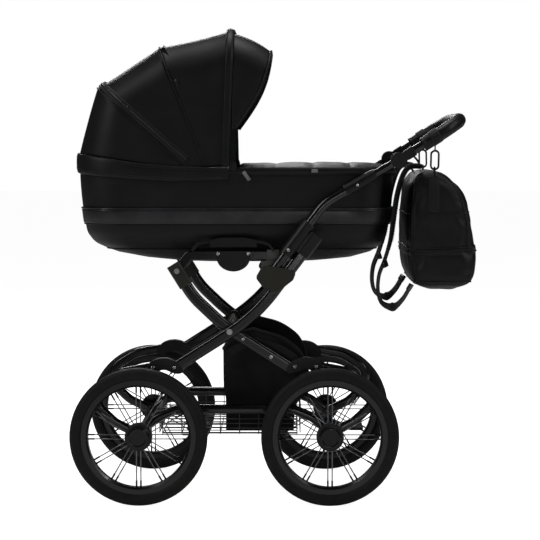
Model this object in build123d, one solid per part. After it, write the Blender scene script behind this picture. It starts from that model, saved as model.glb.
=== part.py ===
from build123d import *
import math
import os

# Retro pram: carrycot with folding hood on a folding crossed-leg frame with four spoked wheels.
# Millimetres. The drawing frame has X along the pram (the hood end is -X, the handle +X), Y across it
# and Z up, with its zero on the wheel axles, midway between them. Pieces are written out moved so that
# the origin is on the ground under the middle of the whole pram.

# Wheels
WHEEL_R = 175.0
WHEELBASE = 486.0
TRACK = 550.0
TYRE_W, TYRE_H = 44.0, 31.0
RIM_W, RIM_H = 30.0, 16.0
SPOKE_PAIRS, SPOKE_D, SPOKE_PAIR_GAP = 12, 3.0, 8.0
HUB_W, HUB_R, HUB_FLANGE_R, HUB_FLANGE_W = 46.0, 14.0, 35.0, 22.0
HUB_CAP_R, HUB_CAP_W = 28.0, 6.0

# Fits
RUN_FIT = 0.05          # radial clearance of a turning fit
SEAT_GAP = 0.3          # clearance between pieces that are fixed to each other
MOVE_GAP = 1.0          # clearance between flat faces that pass each other

# Frame tubes
LEG_D, LEG_W, LEG_WALL = 31.0, 18.0, 2.5
SPRING_TUBE = 20.0
AXLE_D, STUB_D = 16.0, 12.0
SHOULDER = 17.0
LEG_SPACER = 6.0
LEG_BEND_R = 450.0
ARM_D, ARM_WALL = 25.0, 2.0
ARM_OFFSET = 33.0
ARM_BEND_R = 120.0
STEM_D = 20.4
STEM_GRIP = 88.0        # how much stem is inside the arm
RAIL_D, RAIL_BORE, RAIL_ROD = 25.0, 21.0, 16.0
RAIL_H = 57.0
RAIL_SPLIT = 125.0
RAIL_INSERT = 195.0
PIVOT_D = 10.0
SADDLE_W = 23.0
HOUSING_W = 28.0

# Frame points (x, z above the axles)
CROSS_PIVOT = (-13.0, 263.5)
SEAT_PIVOT = (-148.0, 417.0)
PUSH_LEG = [(-150.0, 173.6), (50.4, 300.8), (197.8, 496.5)]
CROSS_LEG = [(149.0, 163.0), (-27.3, 275.1), (-107.0, 351.0), (-154.0, 427.0)]
ARM_BEND = (227.0, 591.4)
HANDLE_PIVOT = (417.0, 700.0)
LATCH_PIN = (84.0, 415.0)

# Seat frame
SEAT_RAIL_W, SEAT_RAIL_H, SEAT_RAIL_Z = 16.0, 28.0, 456.0
SEAT_RAIL_END = 82.0
ADAPTER_X, ADAPTER_R, ADAPTER_T = -4.0, 43.0, 6.0

# Handle
HANDLE_TILT = 33.0
HANDLE_REACH = 189.0
HANDLE_TUBE, GRIP_D = 22.0, 35.0
HANDLE_BEND_R = 70.0
GRIP_START = 72.0
DISC_R, DISC_T = 21.0, 8.0
HANGER_REACH = 110.0
HANGER_DROP = 12.0

# Cot: each level is (z, hood end x, foot end x, half-width, corner radius)
COT_LEVELS = [
    (433.0, -105.0, 160.0, 70.0, 30.0),
    (447.0, -205.0, 280.0, 120.0, 50.0),
    (465.0, -330.0, 365.0, 158.0, 70.0),
    (490.0, -378.0, 391.0, 181.0, 90.0),
    (525.0, -391.0, 400.0, 194.0, 100.0),
    (585.0, -400.0, 408.0, 199.0, 108.0),
    (675.0, -407.0, 411.0, 200.0, 110.0),
]
COT_WALL = 10.0
MATTRESS_T = 45.0
COT_REF_TRACK = 550.0   # the track at which the cot's half-widths above hold
BAND_Z0, BAND_Z1, BAND_T = 537.0, 575.0, 3.0
APRON_X, APRON_T = 8.0, 14.0
COLLAR_T = 9.0

# Hood: bows turn about one axis across the cot
HOOD_PIVOT = (-5.0, 687.0)
HOOD_CORNER = 90.0
PANEL_T = 2.5
BOW_T, BOW_W = 3.5, 14.0
BOW_PIN_D = 6.0
BOW_DROP = {"rear": 1.0, "mid": 1.0, "front": 9.0}
# name: (angle from +X in degrees, outer radius of the fabric)
HOOD_LINES = {"collar": (175.5, 401.5), "rear": (149.7, 409.0), "mid": (121.5, 366.0),
              "front": (91.3, 358.0), "visor": (71.6, 316.0)}

# Bag
BAG_HALF = 190.0
BAG_SPLIT_Z = 468.0
BAG_OUTLINE = [(462, 675), (527, 675), (570, 640), (597, 584), (619, 496), (612, 400), (590, 368),
               (470, 365), (450, 382), (441, 440), (442, 560), (450, 640)]
STRAP_W, STRAP_Y = 34.0, 168.0

# Planes across the pram, from the wheels inwards
WHEEL_Y = TRACK / 2
PUSH_Y = WHEEL_Y - HUB_W / 2 - SHOULDER - LEG_W / 2
CROSS_Y = PUSH_Y - LEG_W - LEG_SPACER
CAP_W = LEG_W + 6
SEAT_Y = CROSS_Y - CAP_W / 2 - MOVE_GAP - SEAT_RAIL_W / 2
RAIL_Y = CROSS_Y - SPRING_TUBE / 2 - 3 * MOVE_GAP - RAIL_D / 2
BASKET_HALF = RAIL_Y - RAIL_D / 2 - SEAT_GAP
WIDEN = (TRACK - COT_REF_TRACK) / 2
AXLE_X = WHEELBASE / 2
CENTRE_X = 100.0
PLACE = Pos(-CENTRE_X, 0, WHEEL_R)
SIDES = {"left": -1, "right": 1}

os.makedirs("parts", exist_ok=True)


def save(name, *shapes):
    """Write one node as a STEP file, moved to the ground under the pram."""
    solids = [PLACE * solid for shape in shapes for solid in shape.solids()]
    export_step(Compound(children=solids), f"parts/{name}.step")


def both(make):
    """The same piece on the left and on the right."""
    return [make(-1), make(1)]


def direction(p, q):
    length = math.hypot(q[0] - p[0], q[1] - p[1])
    return (q[0] - p[0]) / length, (q[1] - p[1]) / length


def along(p, d, distance, offset=0.0):
    """The point at a distance along direction d from p, and offset to its left."""
    return p[0] + d[0] * distance - d[1] * offset, p[1] + d[1] * distance + d[0] * offset


def run(points, radius, y=0.0):
    """A path in the XZ plane: straight runs joined by arcs."""
    return FilletPolyline(*[(x, y, z) for x, z in points], radius=radius)


def swept(path, section):
    """Sweep a section (local x across the pram) along a path in the XZ plane."""
    start = Plane(origin=path @ 0, x_dir=(0, 1, 0), z_dir=path % 0)
    return sweep(start * section, path=path)


def oval(depth, width, grow=0.0):
    return SlotOverall(depth + 2 * grow, width + 2 * grow, rotation=90)


def plate(face, y, width):
    """A flat face drawn in (x, z), given a width across the pram, centred on y."""
    return Pos(0, y, 0) * extrude(Plane.XZ * face, width / 2, both=True)


def outline(points, corner=0.0):
    face = make_face(Polyline(*points, close=True))
    return fillet(face.vertices(), corner) if corner else face


def rod(x, z, y0, y1, d):
    """A round bar across the pram."""
    return Pos(x, (y0 + y1) / 2, z) * Rot(90, 0, 0) * Cylinder(d / 2, abs(y1 - y0))


def ring(x, z, y, width, d_out, d_in):
    return rod(x, z, y - width / 2, y + width / 2, d_out) - rod(x, z, y - width, y + width, d_in)


# ---------------------------------------------------------------- wheels
def turned(points, x, side):
    """Turn a section, drawn as (radius, distance outwards from the wheel's middle plane), about the axle."""
    face = make_face(Polyline(*points, close=True))
    solid = revolve(Plane.XZ * face, Axis.Z)
    return Pos(x, side * WHEEL_Y, 0) * Rot(-side * 90, 0, 0) * solid


def tyre(x, side):
    r_in = WHEEL_R - TYRE_H
    flat = Pos((r_in + WHEEL_R) / 2, 0) * RectangleRounded(TYRE_H, TYRE_W, 13)
    grooves = [Pos(WHEEL_R, y) * Rectangle(4, 2.4) for y in (-7, 7)]
    bead = Pos(r_in, 0) * Rectangle(8, RIM_W + 2 * SEAT_GAP)
    solid = revolve(Plane.XZ * (flat - grooves - bead), Axis.Z)
    return Pos(x, side * WHEEL_Y, 0) * Rot(-side * 90, 0, 0) * solid


def rim(x, side):
    r_out = WHEEL_R - TYRE_H + 4 - SEAT_GAP
    r_in = WHEEL_R - TYRE_H - RIM_H
    w = RIM_W / 2
    return turned([(r_in, -w + 5), (r_in, w - 5), (r_in + 5, w), (r_out, w), (r_out, w - 3),
                   (r_in + 8, w - 6), (r_in + 8, -w + 6), (r_out, -w + 3), (r_out, -w), (r_in + 5, -w)], x, side)


def spokes(x, side):
    r_in = HUB_FLANGE_R + SEAT_GAP
    r_out = WHEEL_R - TYRE_H - RIM_H - SEAT_GAP
    offset = (SPOKE_PAIR_GAP + SPOKE_D) / 2
    start = math.sqrt(r_in ** 2 - (offset - SPOKE_D / 2) ** 2)
    end = math.sqrt(r_out ** 2 - (offset + SPOKE_D / 2) ** 2)
    wire = Pos(0, 0, start) * Cylinder(SPOKE_D / 2, end - start, align=(Align.CENTER, Align.CENTER, Align.MIN))
    solids = []
    for i in range(SPOKE_PAIRS):
        for shift in (-offset, offset):
            solids.append(Pos(x, side * WHEEL_Y, 0) * Rot(0, i * 360 / SPOKE_PAIRS, 0) * Pos(shift, 0, 0) * wire)
    return solids


def hub(x, side):
    """Hub barrel with one broad flange, bored for the axle stub, and a cap over its outer end."""
    w, f = HUB_W / 2, HUB_FLANGE_W / 2
    bore = STUB_D / 2 + RUN_FIT
    barrel = turned([(bore, -w), (HUB_R, -w), (HUB_R + 4, -f), (HUB_FLANGE_R, -f), (HUB_FLANGE_R, f),
                     (HUB_CAP_R - 3, f), (HUB_CAP_R - 3, w - 1), (bore, w - 1)], x, side)
    cap = turned([(0, w - 1), (HUB_CAP_R - 3, w - 1), (HUB_CAP_R - 3, f), (HUB_CAP_R, f),
                  (HUB_CAP_R, w + HUB_CAP_W - 4), (HUB_CAP_R - 4, w + HUB_CAP_W), (0, w + HUB_CAP_W)], x, side)
    return [barrel, cap]


def axle(x):
    """Axle bar with a shoulder and a thinner stub at each end, short of the hub caps."""
    half = WHEEL_Y - HUB_W / 2 - 2 * SEAT_GAP
    bar = rod(x, 0, -half, half, AXLE_D)
    return bar + rod(x, 0, -WHEEL_Y - HUB_W / 2 + 3, WHEEL_Y + HUB_W / 2 - 3, STUB_D)


# ---------------------------------------------------------------- crossed legs and springs
def spring_path(end):
    """The C-shaped leaf from the leg's saddle round the outside and back to the axle; end is -1 or 1."""
    points = [(207, 173), (290, 158), (352, 118), (350, 70), (AXLE_X + 62, 28), (AXLE_X + 12, 4)]
    return run([(end * x, z) for x, z in points], [90, 40, 30, 60])


def spring(end, y):
    tube = swept(spring_path(end), oval(SPRING_TUBE + 4, SPRING_TUBE - 4))
    lug = rod(end * AXLE_X, 0, y - SPRING_TUBE / 2, y + SPRING_TUBE / 2, AXLE_D + 14)
    bore = rod(end * AXLE_X, 0, y - SPRING_TUBE, y + SPRING_TUBE, AXLE_D + 2 * SEAT_GAP)
    return Pos(0, y, 0) * tube + lug - bore


def leg_path(points):
    return run(points, [LEG_BEND_R, 200.0][:len(points) - 2])


def leg(points, y, bores):
    path = leg_path(points)
    tube = swept(path, oval(LEG_D, LEG_W) - oval(LEG_D, LEG_W, -LEG_WALL))
    for (x, z), d in bores:
        tube = tube - rod(x, z, -LEG_W, LEG_W, d)
    return Pos(0, y, 0) * tube


def saddle(end, leg_points, y):
    """Arched clamp over the leg's lower end and the spring's upper end."""
    mid = end * 181.0
    arch = make_face([
        Spline((mid - 50, 160), (mid - 33, 186), (mid, 196), (mid + 33, 186), (mid + 50, 160)),
        Spline((mid + 50, 160), (mid + 24, 158), (mid, 166), (mid - 24, 158), (mid - 50, 160))])
    inside = swept(leg_path(leg_points), oval(LEG_D, LEG_W, SEAT_GAP))
    inside += swept(spring_path(end), oval(SPRING_TUBE + 4, SPRING_TUBE - 4, SEAT_GAP))
    return Pos(0, y, 0) * (plate(arch, 0, SADDLE_W) - inside)


# ---------------------------------------------------------------- base rails and baskets
def rail_points(end):
    return [(end * (AXLE_X - 8), 8), (end * 200, 36), (end * 150, RAIL_H), (end * RAIL_SPLIT, RAIL_H)]


def rail(end, y, tail=None):
    """Half of a telescoping base rail, from its axle ring to the split."""
    points = rail_points(end)
    if tail is not None:
        points[-1] = (tail, RAIL_H)
    solid = swept(run(points, [60, 60]), Circle(RAIL_D / 2))
    eye = rod(end * AXLE_X, 0, -RAIL_D / 2, RAIL_D / 2, AXLE_D + 14)
    solid = solid + eye - rod(end * AXLE_X, 0, -RAIL_D, RAIL_D, AXLE_D + 2 * RUN_FIT)
    return Pos(0, y, 0) * solid


def front_rail(side):
    solid = rail(-1, 0, RAIL_SPLIT)
    reach = RAIL_SPLIT + 150
    bore = Pos(RAIL_SPLIT + 1, 0, RAIL_H) * Rot(0, -90, 0) * Cylinder(
        RAIL_BORE / 2, reach, align=(Align.CENTER, Align.CENTER, Align.MIN))
    return Pos(0, side * RAIL_Y, 0) * (solid - bore)


def rear_rail(side):
    tail = RAIL_SPLIT + MOVE_GAP
    solid = rail(1, 0, tail)
    inner = Pos(tail + 1, 0, RAIL_H) * Rot(0, -90, 0) * Cylinder(
        RAIL_ROD / 2, RAIL_INSERT, align=(Align.CENTER, Align.CENTER, Align.MIN))
    return Pos(0, side * RAIL_Y, 0) * (solid + inner)


BASKET_X0, BASKET_X1 = -197.0, 168.0
BASKET_Z0 = -6.0
RIM_WIRE, WIRE, UPRIGHT = 5.0, 3.0, 2.6


def bar(p, q, d):
    """Round wire from p to q."""
    v = Vector(*q) - Vector(*p)
    return Plane(origin=p, z_dir=v) * Cylinder(d / 2, v.length, align=(Align.CENTER, Align.CENTER, Align.MIN))


def spread(a, b, pitch):
    count = max(1, round((b - a) / pitch))
    return [a + (b - a) * i / count for i in range(count + 1)]


def wire_panels():
    """Wire tray: two long sides, two ends and a floor, each a welded grille."""
    half = BASKET_HALF - RIM_WIRE / 2
    z1 = RAIL_H
    levels = spread(BASKET_Z0, 30, 12)
    xs = spread(BASKET_X0 + 8, BASKET_X1 - 8, 52)
    ys = spread(-half + 10, half - 10, 52)
    panels = []
    for y in (-half, half):
        grille = bar((BASKET_X0 + 6, y, z1), (BASKET_X1 - 6, y, z1), RIM_WIRE)
        for z in levels:
            grille += bar((BASKET_X0 + 6, y, z), (BASKET_X1 - 6, y, z), WIRE)
        for x in xs:
            grille += bar((x, y, BASKET_Z0), (x, y, z1), UPRIGHT)
        panels.append(grille)
    for x in (BASKET_X0, BASKET_X1):
        grille = bar((x, -half + 3, z1), (x, half - 3, z1), RIM_WIRE)
        for z in levels:
            grille += bar((x, -half + 3, z), (x, half - 3, z), WIRE)
        for y in ys:
            grille += bar((x, y, BASKET_Z0), (x, y, z1), UPRIGHT)
        panels.append(grille)
    floor_z = BASKET_Z0 - WIRE - SEAT_GAP
    floor = bar((xs[0], ys[0], floor_z), (xs[-1], ys[0], floor_z), WIRE)
    for y in ys[1:]:
        floor += bar((xs[0], y, floor_z), (xs[-1], y, floor_z), WIRE)
    for x in xs:
        floor += bar((x, -half + 1, floor_z), (x, half - 1, floor_z), UPRIGHT)
    panels.append(floor)
    return panels


def fabric_basket():
    """Cloth bag slung between the cross legs, its foot standing in the wire tray; open on top."""
    wall = 3.0
    upper = outline([(-30, 74), (-32, 212), (-8, 238), (40, 262), (67, 258), (115, 244), (172, 204), (188, 150),
                     (176, 74)])
    lower = outline([(-28, BASKET_Z0 + 2), (-30, 75), (160, 75), (158, BASKET_Z0 + 2)])
    wide = CROSS_Y - LEG_W / 2 - 7
    narrow = BASKET_HALF - RIM_WIRE - 3
    outer = plate(upper, 0, 2 * wide) + plate(lower, 0, 2 * narrow)
    inner_face = offset(upper, -wall)
    inner = plate(inner_face, 0, 2 * (wide - wall)) + plate(Pos(0, 14) * inner_face, 0, 2 * (wide - wall))
    inner += plate(outline([(-25, BASKET_Z0 + 5), (-26, 90), (156, 90), (155, BASKET_Z0 + 5)]), 0, 2 * (narrow - wall))
    return outer - inner


# ---------------------------------------------------------------- push arms, sleeves and handle
CLIP_Y = PUSH_Y - 6.0
CLIP_X = HANDLE_PIVOT[0] + HANGER_REACH * math.cos(math.radians(HANDLE_TILT))
HANGER_Z = HANDLE_PIVOT[1] + HANGER_REACH * math.sin(math.radians(HANDLE_TILT))
HANG_Z = HANGER_Z - GRIP_D / 2 - HANGER_DROP - 6
UP = direction(PUSH_LEG[1], PUSH_LEG[2])
ARM_FOOT = along(PUSH_LEG[2], UP, -128, ARM_OFFSET)
ARM_RUN = (ARM_BEND[0] - ARM_FOOT[0]) * UP[0] + (ARM_BEND[1] - ARM_FOOT[1]) * UP[1]
ARM_CORNER = along(ARM_FOOT, UP, ARM_RUN)
ARM_OUT = direction(ARM_CORNER, HANDLE_PIVOT)
ARM_END = along(HANDLE_PIVOT, ARM_OUT, -78)
SLEEVE_POINT = along(PUSH_LEG[2], UP, -60)


def arm_path():
    return run([ARM_FOOT, ARM_CORNER, ARM_END], ARM_BEND_R)


def push_arm(side):
    tube = swept(arm_path(), Circle(ARM_D / 2) - Circle(ARM_D / 2 - ARM_WALL))
    return Pos(0, side * PUSH_Y, 0) * tube


def straight(p, d, start, end, section):
    """A straight bar in the push plane at y=0, along d from p, between two distances."""
    origin = along(p, d, start)
    plane = Plane(origin=(origin[0], 0, origin[1]), x_dir=(0, 1, 0), z_dir=(d[0], 0, d[1]))
    return extrude(plane * section, end - start)


def lock_sleeve(side):
    """Double clamp sleeve that holds the arm beside the leg; it slides up to free the fold."""
    free = 0.5
    front = straight(along(SLEEVE_POINT, UP, 0, ARM_OFFSET), UP, -9, 91, Circle(ARM_D / 2 + 5))
    rear = straight(SLEEVE_POINT, UP, 14, 78, oval(LEG_D + 8, LEG_W + 8))
    web = straight(along(SLEEVE_POINT, UP, 0, ARM_OFFSET / 2), UP, 14, 70, Rectangle(LEG_W + 2, 26))
    body = front + rear + web
    body -= straight(along(SLEEVE_POINT, UP, 0, ARM_OFFSET), UP, -30, 120, Circle(ARM_D / 2 + free))
    body -= straight(SLEEVE_POINT, UP, -30, 120, oval(LEG_D, LEG_W, free))
    return Pos(0, side * PUSH_Y, 0) * body


def hinge_housing(side):
    """Rounded shell round the leg and the foot of the arm."""
    face = outline([(54, 402), (68, 427), (100, 432), (158, 418), (149, 396), (116, 370), (98, 365), (72, 378)], 9)
    body = plate(face, 0, HOUSING_W)
    body -= swept(leg_path(PUSH_LEG), oval(LEG_D, LEG_W, SEAT_GAP))
    body -= straight(ARM_FOOT, UP, -SEAT_GAP, 90, Circle(ARM_D / 2 + SEAT_GAP))
    return Pos(0, side * PUSH_Y, 0) * body


def arm_collar(side):
    start = along(ARM_END, ARM_OUT, -72)
    collar = straight(start, ARM_OUT, 0, 74, Circle(ARM_D / 2 + 2.5))
    collar += straight(start, ARM_OUT, -6, 0, Circle(ARM_D / 2 + 4.5))
    collar += straight(start, ARM_OUT, 74, 82, Circle(ARM_D / 2 + 1))
    collar -= straight(start, ARM_OUT, -10, 72 + SEAT_GAP, Circle(ARM_D / 2 + SEAT_GAP))
    collar -= straight(start, ARM_OUT, 0, 90, Circle(STEM_D / 2 + SEAT_GAP))
    return Pos(0, side * PUSH_Y, 0) * collar


STEM_T = 12.0


def handle_stem(side):
    """Telescoping stem with a flat eye for the handle's hinge."""
    bar_ = straight(ARM_END, ARM_OUT, -STEM_GRIP, 64, Circle(STEM_D / 2))
    eye = rod(*HANDLE_PIVOT, -STEM_T / 2, STEM_T / 2, 2 * DISC_R - 2)
    bar_ = bar_ - ring_clear(HANDLE_PIVOT, STEM_T)
    return Pos(0, side * PUSH_Y, 0) * (bar_ + eye - rod(*HANDLE_PIVOT, -20, 20, 8 + 2 * RUN_FIT))


def ring_clear(point, gap):
    """Room for the handle's two discs on both faces of a flat eye."""
    tall = 2 * (DISC_R + MOVE_GAP)
    outer = rod(*point, gap / 2, 30, tall) + rod(*point, -30, -gap / 2, tall)
    return outer


def handle_plane(y):
    c, s = math.cos(math.radians(HANDLE_TILT)), math.sin(math.radians(HANDLE_TILT))
    return Plane(origin=(HANDLE_PIVOT[0], y, HANDLE_PIVOT[1]), x_dir=(c, 0, s), z_dir=(-s, 0, c))


def handle_sweep(start, section):
    path = handle_plane(0) * FilletPolyline(
        (start, -PUSH_Y), (HANDLE_REACH, -PUSH_Y), (HANDLE_REACH, PUSH_Y), (start, PUSH_Y), radius=HANDLE_BEND_R)
    return sweep(Plane(origin=path @ 0, z_dir=path % 0) * section, path=path)


YOKE_REACH = 46.0


def handle_yoke(side):
    """Two discs on a hinge pin, joined by a block that takes the handle tube."""
    p = HANDLE_PIVOT
    inner, outer = STEM_T / 2 + SEAT_GAP, STEM_T / 2 + SEAT_GAP + DISC_T
    body = rod(*p, inner, outer, 2 * DISC_R) + rod(*p, -outer, -inner, 2 * DISC_R)
    body += rod(*p, -outer, outer, 8)
    block = handle_plane(0) * Pos((DISC_R + 2 + YOKE_REACH) / 2, 0, 0) * Box(YOKE_REACH - DISC_R - 2, 2 * outer, 26)
    cheeks = [handle_plane(0) * Pos(DISC_R / 2 + 4, s * (inner + outer) / 2, 0) * Box(DISC_R + 8, DISC_T, 24)
              for s in (-1, 1)]
    body = body + block + cheeks
    return Pos(0, side * PUSH_Y, 0) * body


def hanger_loop(side):
    """Webbing band round the grip, with a tab below it that has an eye for the clip."""
    r = GRIP_D / 2 + SEAT_GAP
    c, sn = math.cos(math.radians(HANDLE_TILT)), math.sin(math.radians(HANDLE_TILT))
    plane = Plane(origin=(CLIP_X, side * PUSH_Y, HANGER_Z), x_dir=(0, 1, 0), z_dir=(c, 0, sn))
    band = extrude(plane * (Circle(r + 2) - Circle(r)), 12, both=True)
    tab = Pos(CLIP_X, side * CLIP_Y, (HANGER_Z + HANG_Z) / 2 - 3) * Box(3, 16, HANGER_Z - HANG_Z + 10)
    eye = Pos(CLIP_X, side * CLIP_Y, HANG_Z) * Rot(0, 90, 0) * Cylinder(4.5, 10)
    return band + (tab - eye - extrude(plane * Circle(r), 60, both=True))


# ---------------------------------------------------------------- seat frame
def seat_rail(side):
    path = run([SEAT_PIVOT, (-118, SEAT_RAIL_Z), (SEAT_RAIL_END - SEAT_GAP, SEAT_RAIL_Z)], 22)
    tube = swept(path, RectangleRounded(SEAT_RAIL_W, SEAT_RAIL_H, 5))
    boss = rod(*SEAT_PIVOT, -SEAT_RAIL_W / 2, SEAT_RAIL_W / 2, 32)
    return Pos(0, side * SEAT_Y, 0) * (tube + boss - rod(*SEAT_PIVOT, -20, 20, PIVOT_D + 2 * RUN_FIT))


def latch_block(side):
    """End block of the seat rail with a hook, open to the rear, for the latch pin."""
    block = plate(Pos(SEAT_RAIL_END + 15, SEAT_RAIL_Z + 2) * Rectangle(30, 24), 0, SEAT_RAIL_W + 2)
    x, z = LATCH_PIN
    hook = outline([(x - 16, z + 28), (x - 20, z - 6), (x - 10, z - 16), (x + 14, z - 16), (x + 16, z + 10),
                    (x + 26, z + 30), (x - 2, z + 30)])
    slot = Pos(x + 20, z) * Rectangle(40, PIVOT_D + 6) + Pos(x, z) * Circle(PIVOT_D / 2 + 3)
    hook_plate = plate(hook - slot, 0, SEAT_RAIL_W - 4)
    rail_room = plate(Pos(0, SEAT_RAIL_Z) * Rectangle(2 * SEAT_RAIL_END, SEAT_RAIL_H + 2 * SEAT_GAP), 0, 40)
    return Pos(0, side * SEAT_Y, 0) * (block + (hook_plate - rail_room) + plate(
        Pos(SEAT_RAIL_END + 13, SEAT_RAIL_Z - 12) * Rectangle(24, 12), 0, SEAT_RAIL_W - 4))


def adapter(side):
    """Cot socket plate with a rounded foot on the outer face of the seat rail."""
    face = Pos(ADAPTER_X, SEAT_RAIL_Z) * Rectangle(2 * ADAPTER_R, 22)
    foot = Pos(ADAPTER_X, SEAT_RAIL_Z - 5) * (Ellipse(ADAPTER_R, 36) - Pos(0, 30) * Rectangle(4 * ADAPTER_R, 60))
    y = SEAT_Y + SEAT_RAIL_W / 2 + SEAT_GAP + ADAPTER_T / 2
    return Pos(0, side * y, 0) * plate(face + foot, 0, ADAPTER_T)


# ---------------------------------------------------------------- cot
def level_at(z):
    """Cot outline at a height, between the levels; above the rim it stays as it is there."""
    if z >= COT_LEVELS[-1][0]:
        return COT_LEVELS[-1][1:]
    for low, high in zip(COT_LEVELS, COT_LEVELS[1:]):
        if z <= high[0]:
            t = (z - low[0]) / (high[0] - low[0])
            return tuple(a + (b - a) * t for a, b in zip(low[1:], high[1:]))


def cot_face(z, grow):
    x0, x1, half, corner = level_at(z)
    half += WIDEN
    face = RectangleRounded(x1 - x0 + 2 * grow, 2 * (half + grow), corner + grow)
    return Pos((x0 + x1) / 2, 0, z) * face


def cot_solid(z0, z1, grow):
    """The cot's outer form between two heights, grown sideways."""
    heights = [z0] + [lv[0] for lv in COT_LEVELS if z0 + 0.5 < lv[0] < z1 - 0.5] + [z1]
    faces = [cot_face(z, grow) for z in heights]
    solid = loft(faces[:2], ruled=True)
    for low, high in zip(faces[1:], faces[2:]):
        solid += loft([low, high], ruled=True)
    return solid


RIM_Z = COT_LEVELS[-1][0]
FLOOR_Z = COT_LEVELS[2][0] + 8


def cot_tub():
    return cot_solid(COT_LEVELS[0][0], RIM_Z, 0) - cot_solid(FLOOR_Z, RIM_Z + 1, -COT_WALL)


def cot_mattress():
    return cot_solid(FLOOR_Z + SEAT_GAP, FLOOR_Z + MATTRESS_T, -COT_WALL - 4)


def skin(z0, z1, thick, gap=SEAT_GAP):
    """A band round the cot's outside."""
    return cot_solid(z0, z1, thick + gap) - cot_solid(z0 - 1, z1 + 1, gap)


def apron():
    """Foot cover: a flat padded top inside the rim line, with a skirt over the rim."""
    top = extrude(cot_face(RIM_Z + SEAT_GAP, 0), APRON_T) + skin(RIM_Z - 12, RIM_Z + SEAT_GAP, 3.5)
    top += extrude(cot_face(RIM_Z + SEAT_GAP, 3.8), 2)
    keep = Pos(APRON_X + 300, 0, RIM_Z) * Box(600, 2000, 200)
    return top & keep


def collar():
    """Band round the hood end of the rim, rising over the head end."""
    band = skin(RIM_Z - 45, RIM_Z + 60, COLLAR_T)
    side = outline([(-13, 648), (-160, 644), (-262, 650), (-344, 658), (-440, 669), (-440, 724), (-283, 699),
                    (-201, 689), (-140, 683), (-13, 681)])
    return band & plate(side, 0, 4000)


def cot_latch(side):
    """Arched release bow with a finger grip, low on the cot's side."""
    bow = run([(-110, 468), (-96, 486), (-40, 498), (32, 498), (86, 486), (100, 468)], [14, 60, 60, 14])
    y = 190.5 + WIDEN
    tube = swept(bow, RectangleRounded(6, 8, 2))
    grip = plate(outline([(-64, 478), (-64, 493), (-36, 502), (28, 502), (56, 493), (56, 478)]), 0, 9)
    return Pos(0, side * (y + 3), 0) * (tube + grip)


# ---------------------------------------------------------------- hood
def hood_plane(angle):
    a = math.radians(angle)
    return Plane(origin=(HOOD_PIVOT[0], 0, HOOD_PIVOT[1]), x_dir=(0, 1, 0), z_dir=(math.sin(a), 0, -math.cos(a)))


def hoop_face(radius, half, foot, corner, thick):
    """U-shaped strip: legs from the foot radius up to a rounded top at the outer radius."""
    def dome(r, w, c, low):
        face = Pos(0, (r + low) / 2) * Rectangle(2 * w, r - low)
        return fillet(face.vertices().sort_by(Axis.Y)[-2:], c)
    return dome(radius, half, corner, foot) - dome(radius - thick, half - thick, corner - thick, foot - 1)


HOOD_HALF = 197.0 + WIDEN


def hood_panel(start, end, foot0=30.0, foot1=30.0, inset=0.0, turn0=0.0, turn1=0.0):
    """Fabric between two hood lines, as a thin closed shell."""
    faces = []
    for name, foot, turn in ((start, foot0, turn0), (end, foot1, turn1)):
        angle, radius = HOOD_LINES[name]
        faces.append(hood_plane(angle + turn) * hoop_face(
            radius - inset, HOOD_HALF - inset, foot, HOOD_CORNER - inset, PANEL_T))
    return loft(faces, ruled=True)


def hood_bow(name, order):
    """Flat hoop under the fabric; its ends turn on the pivot pins, each bow inside the one before."""
    angle, radius = HOOD_LINES[name]
    half = HOOD_HALF - 2 * PANEL_T - 1.5 - order * (BOW_T + MOVE_GAP)
    top = radius - 2 * PANEL_T - BOW_DROP[name]
    face = hoop_face(top, half, -8, HOOD_CORNER - 6, BOW_T)
    solid = extrude(hood_plane(angle) * face, BOW_W / 2, both=True)
    x, z = HOOD_PIVOT
    return solid - rod(x, z, -HOOD_HALF, HOOD_HALF, BOW_PIN_D + 2 * RUN_FIT)


def hood_bracket(side):
    """Ear on the rim with the pin that the bows turn on."""
    x, z = HOOD_PIVOT
    y1 = HOOD_HALF - PANEL_T - SEAT_GAP
    y0 = y1 - 3.2
    ear = plate(outline([(x - 12, RIM_Z + SEAT_GAP), (x - 8, z + 9), (x + 8, z + 9), (x + 12, RIM_Z + SEAT_GAP)]),
                side * (y0 + y1) / 2, y1 - y0)
    inner = HOOD_HALF - 2 * PANEL_T - 1.5 - 3 * (BOW_T + MOVE_GAP)
    return ear + rod(x, z, side * inner, side * y0, BOW_PIN_D)


# ---------------------------------------------------------------- bag
def bag_part(low, high):
    body = plate(outline([(float(x), float(z)) for x, z in BAG_OUTLINE], 12), 0, 2 * (BAG_HALF + WIDEN))
    return body & Pos(520, 0, (low + high) / 2) * Box(400, 2000, high - low)


def bag_strap(side):
    """Shoulder strap: padded above, plain webbing below, along the bag's front."""
    y = side * (STRAP_Y + WIDEN)
    pad = run([(478, 679.5), (448, 679.5), (434, 668), (413, 600), (404, 531), (392, 470)], [10, 12, 60, 60])
    web = run([(391, 466), (372, 415), (368, 365), (388, 326), (412, 322), (436, 340), (452, 374)],
              [40, 25, 18, 18, 25])
    upper = swept(pad, RectangleRounded(STRAP_W, 7.5, 3))
    lower = swept(web, RectangleRounded(STRAP_W - 10, 2.5, 1))
    return [Pos(0, y, 0) * upper, Pos(0, y, 0) * lower]


CLIP_H, CLIP_W, CLIP_WIRE, CLIP_LEAN = 54.0, 24.0, 4.5, 17.0
D_RING_H, D_RING_W, D_RING_WIRE = 26.0, 20.0, 4.0


def link(height, width, wire):
    """Closed oval wire link in the XZ plane that hangs from the middle of its top wire."""
    face = SlotOverall(height, width, rotation=90) - SlotOverall(height - 2 * wire, width - 2 * wire, rotation=90)
    return Pos(0, 0, (wire - height) / 2) * extrude(Plane.XZ * face, wire / 2, both=True)


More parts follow.
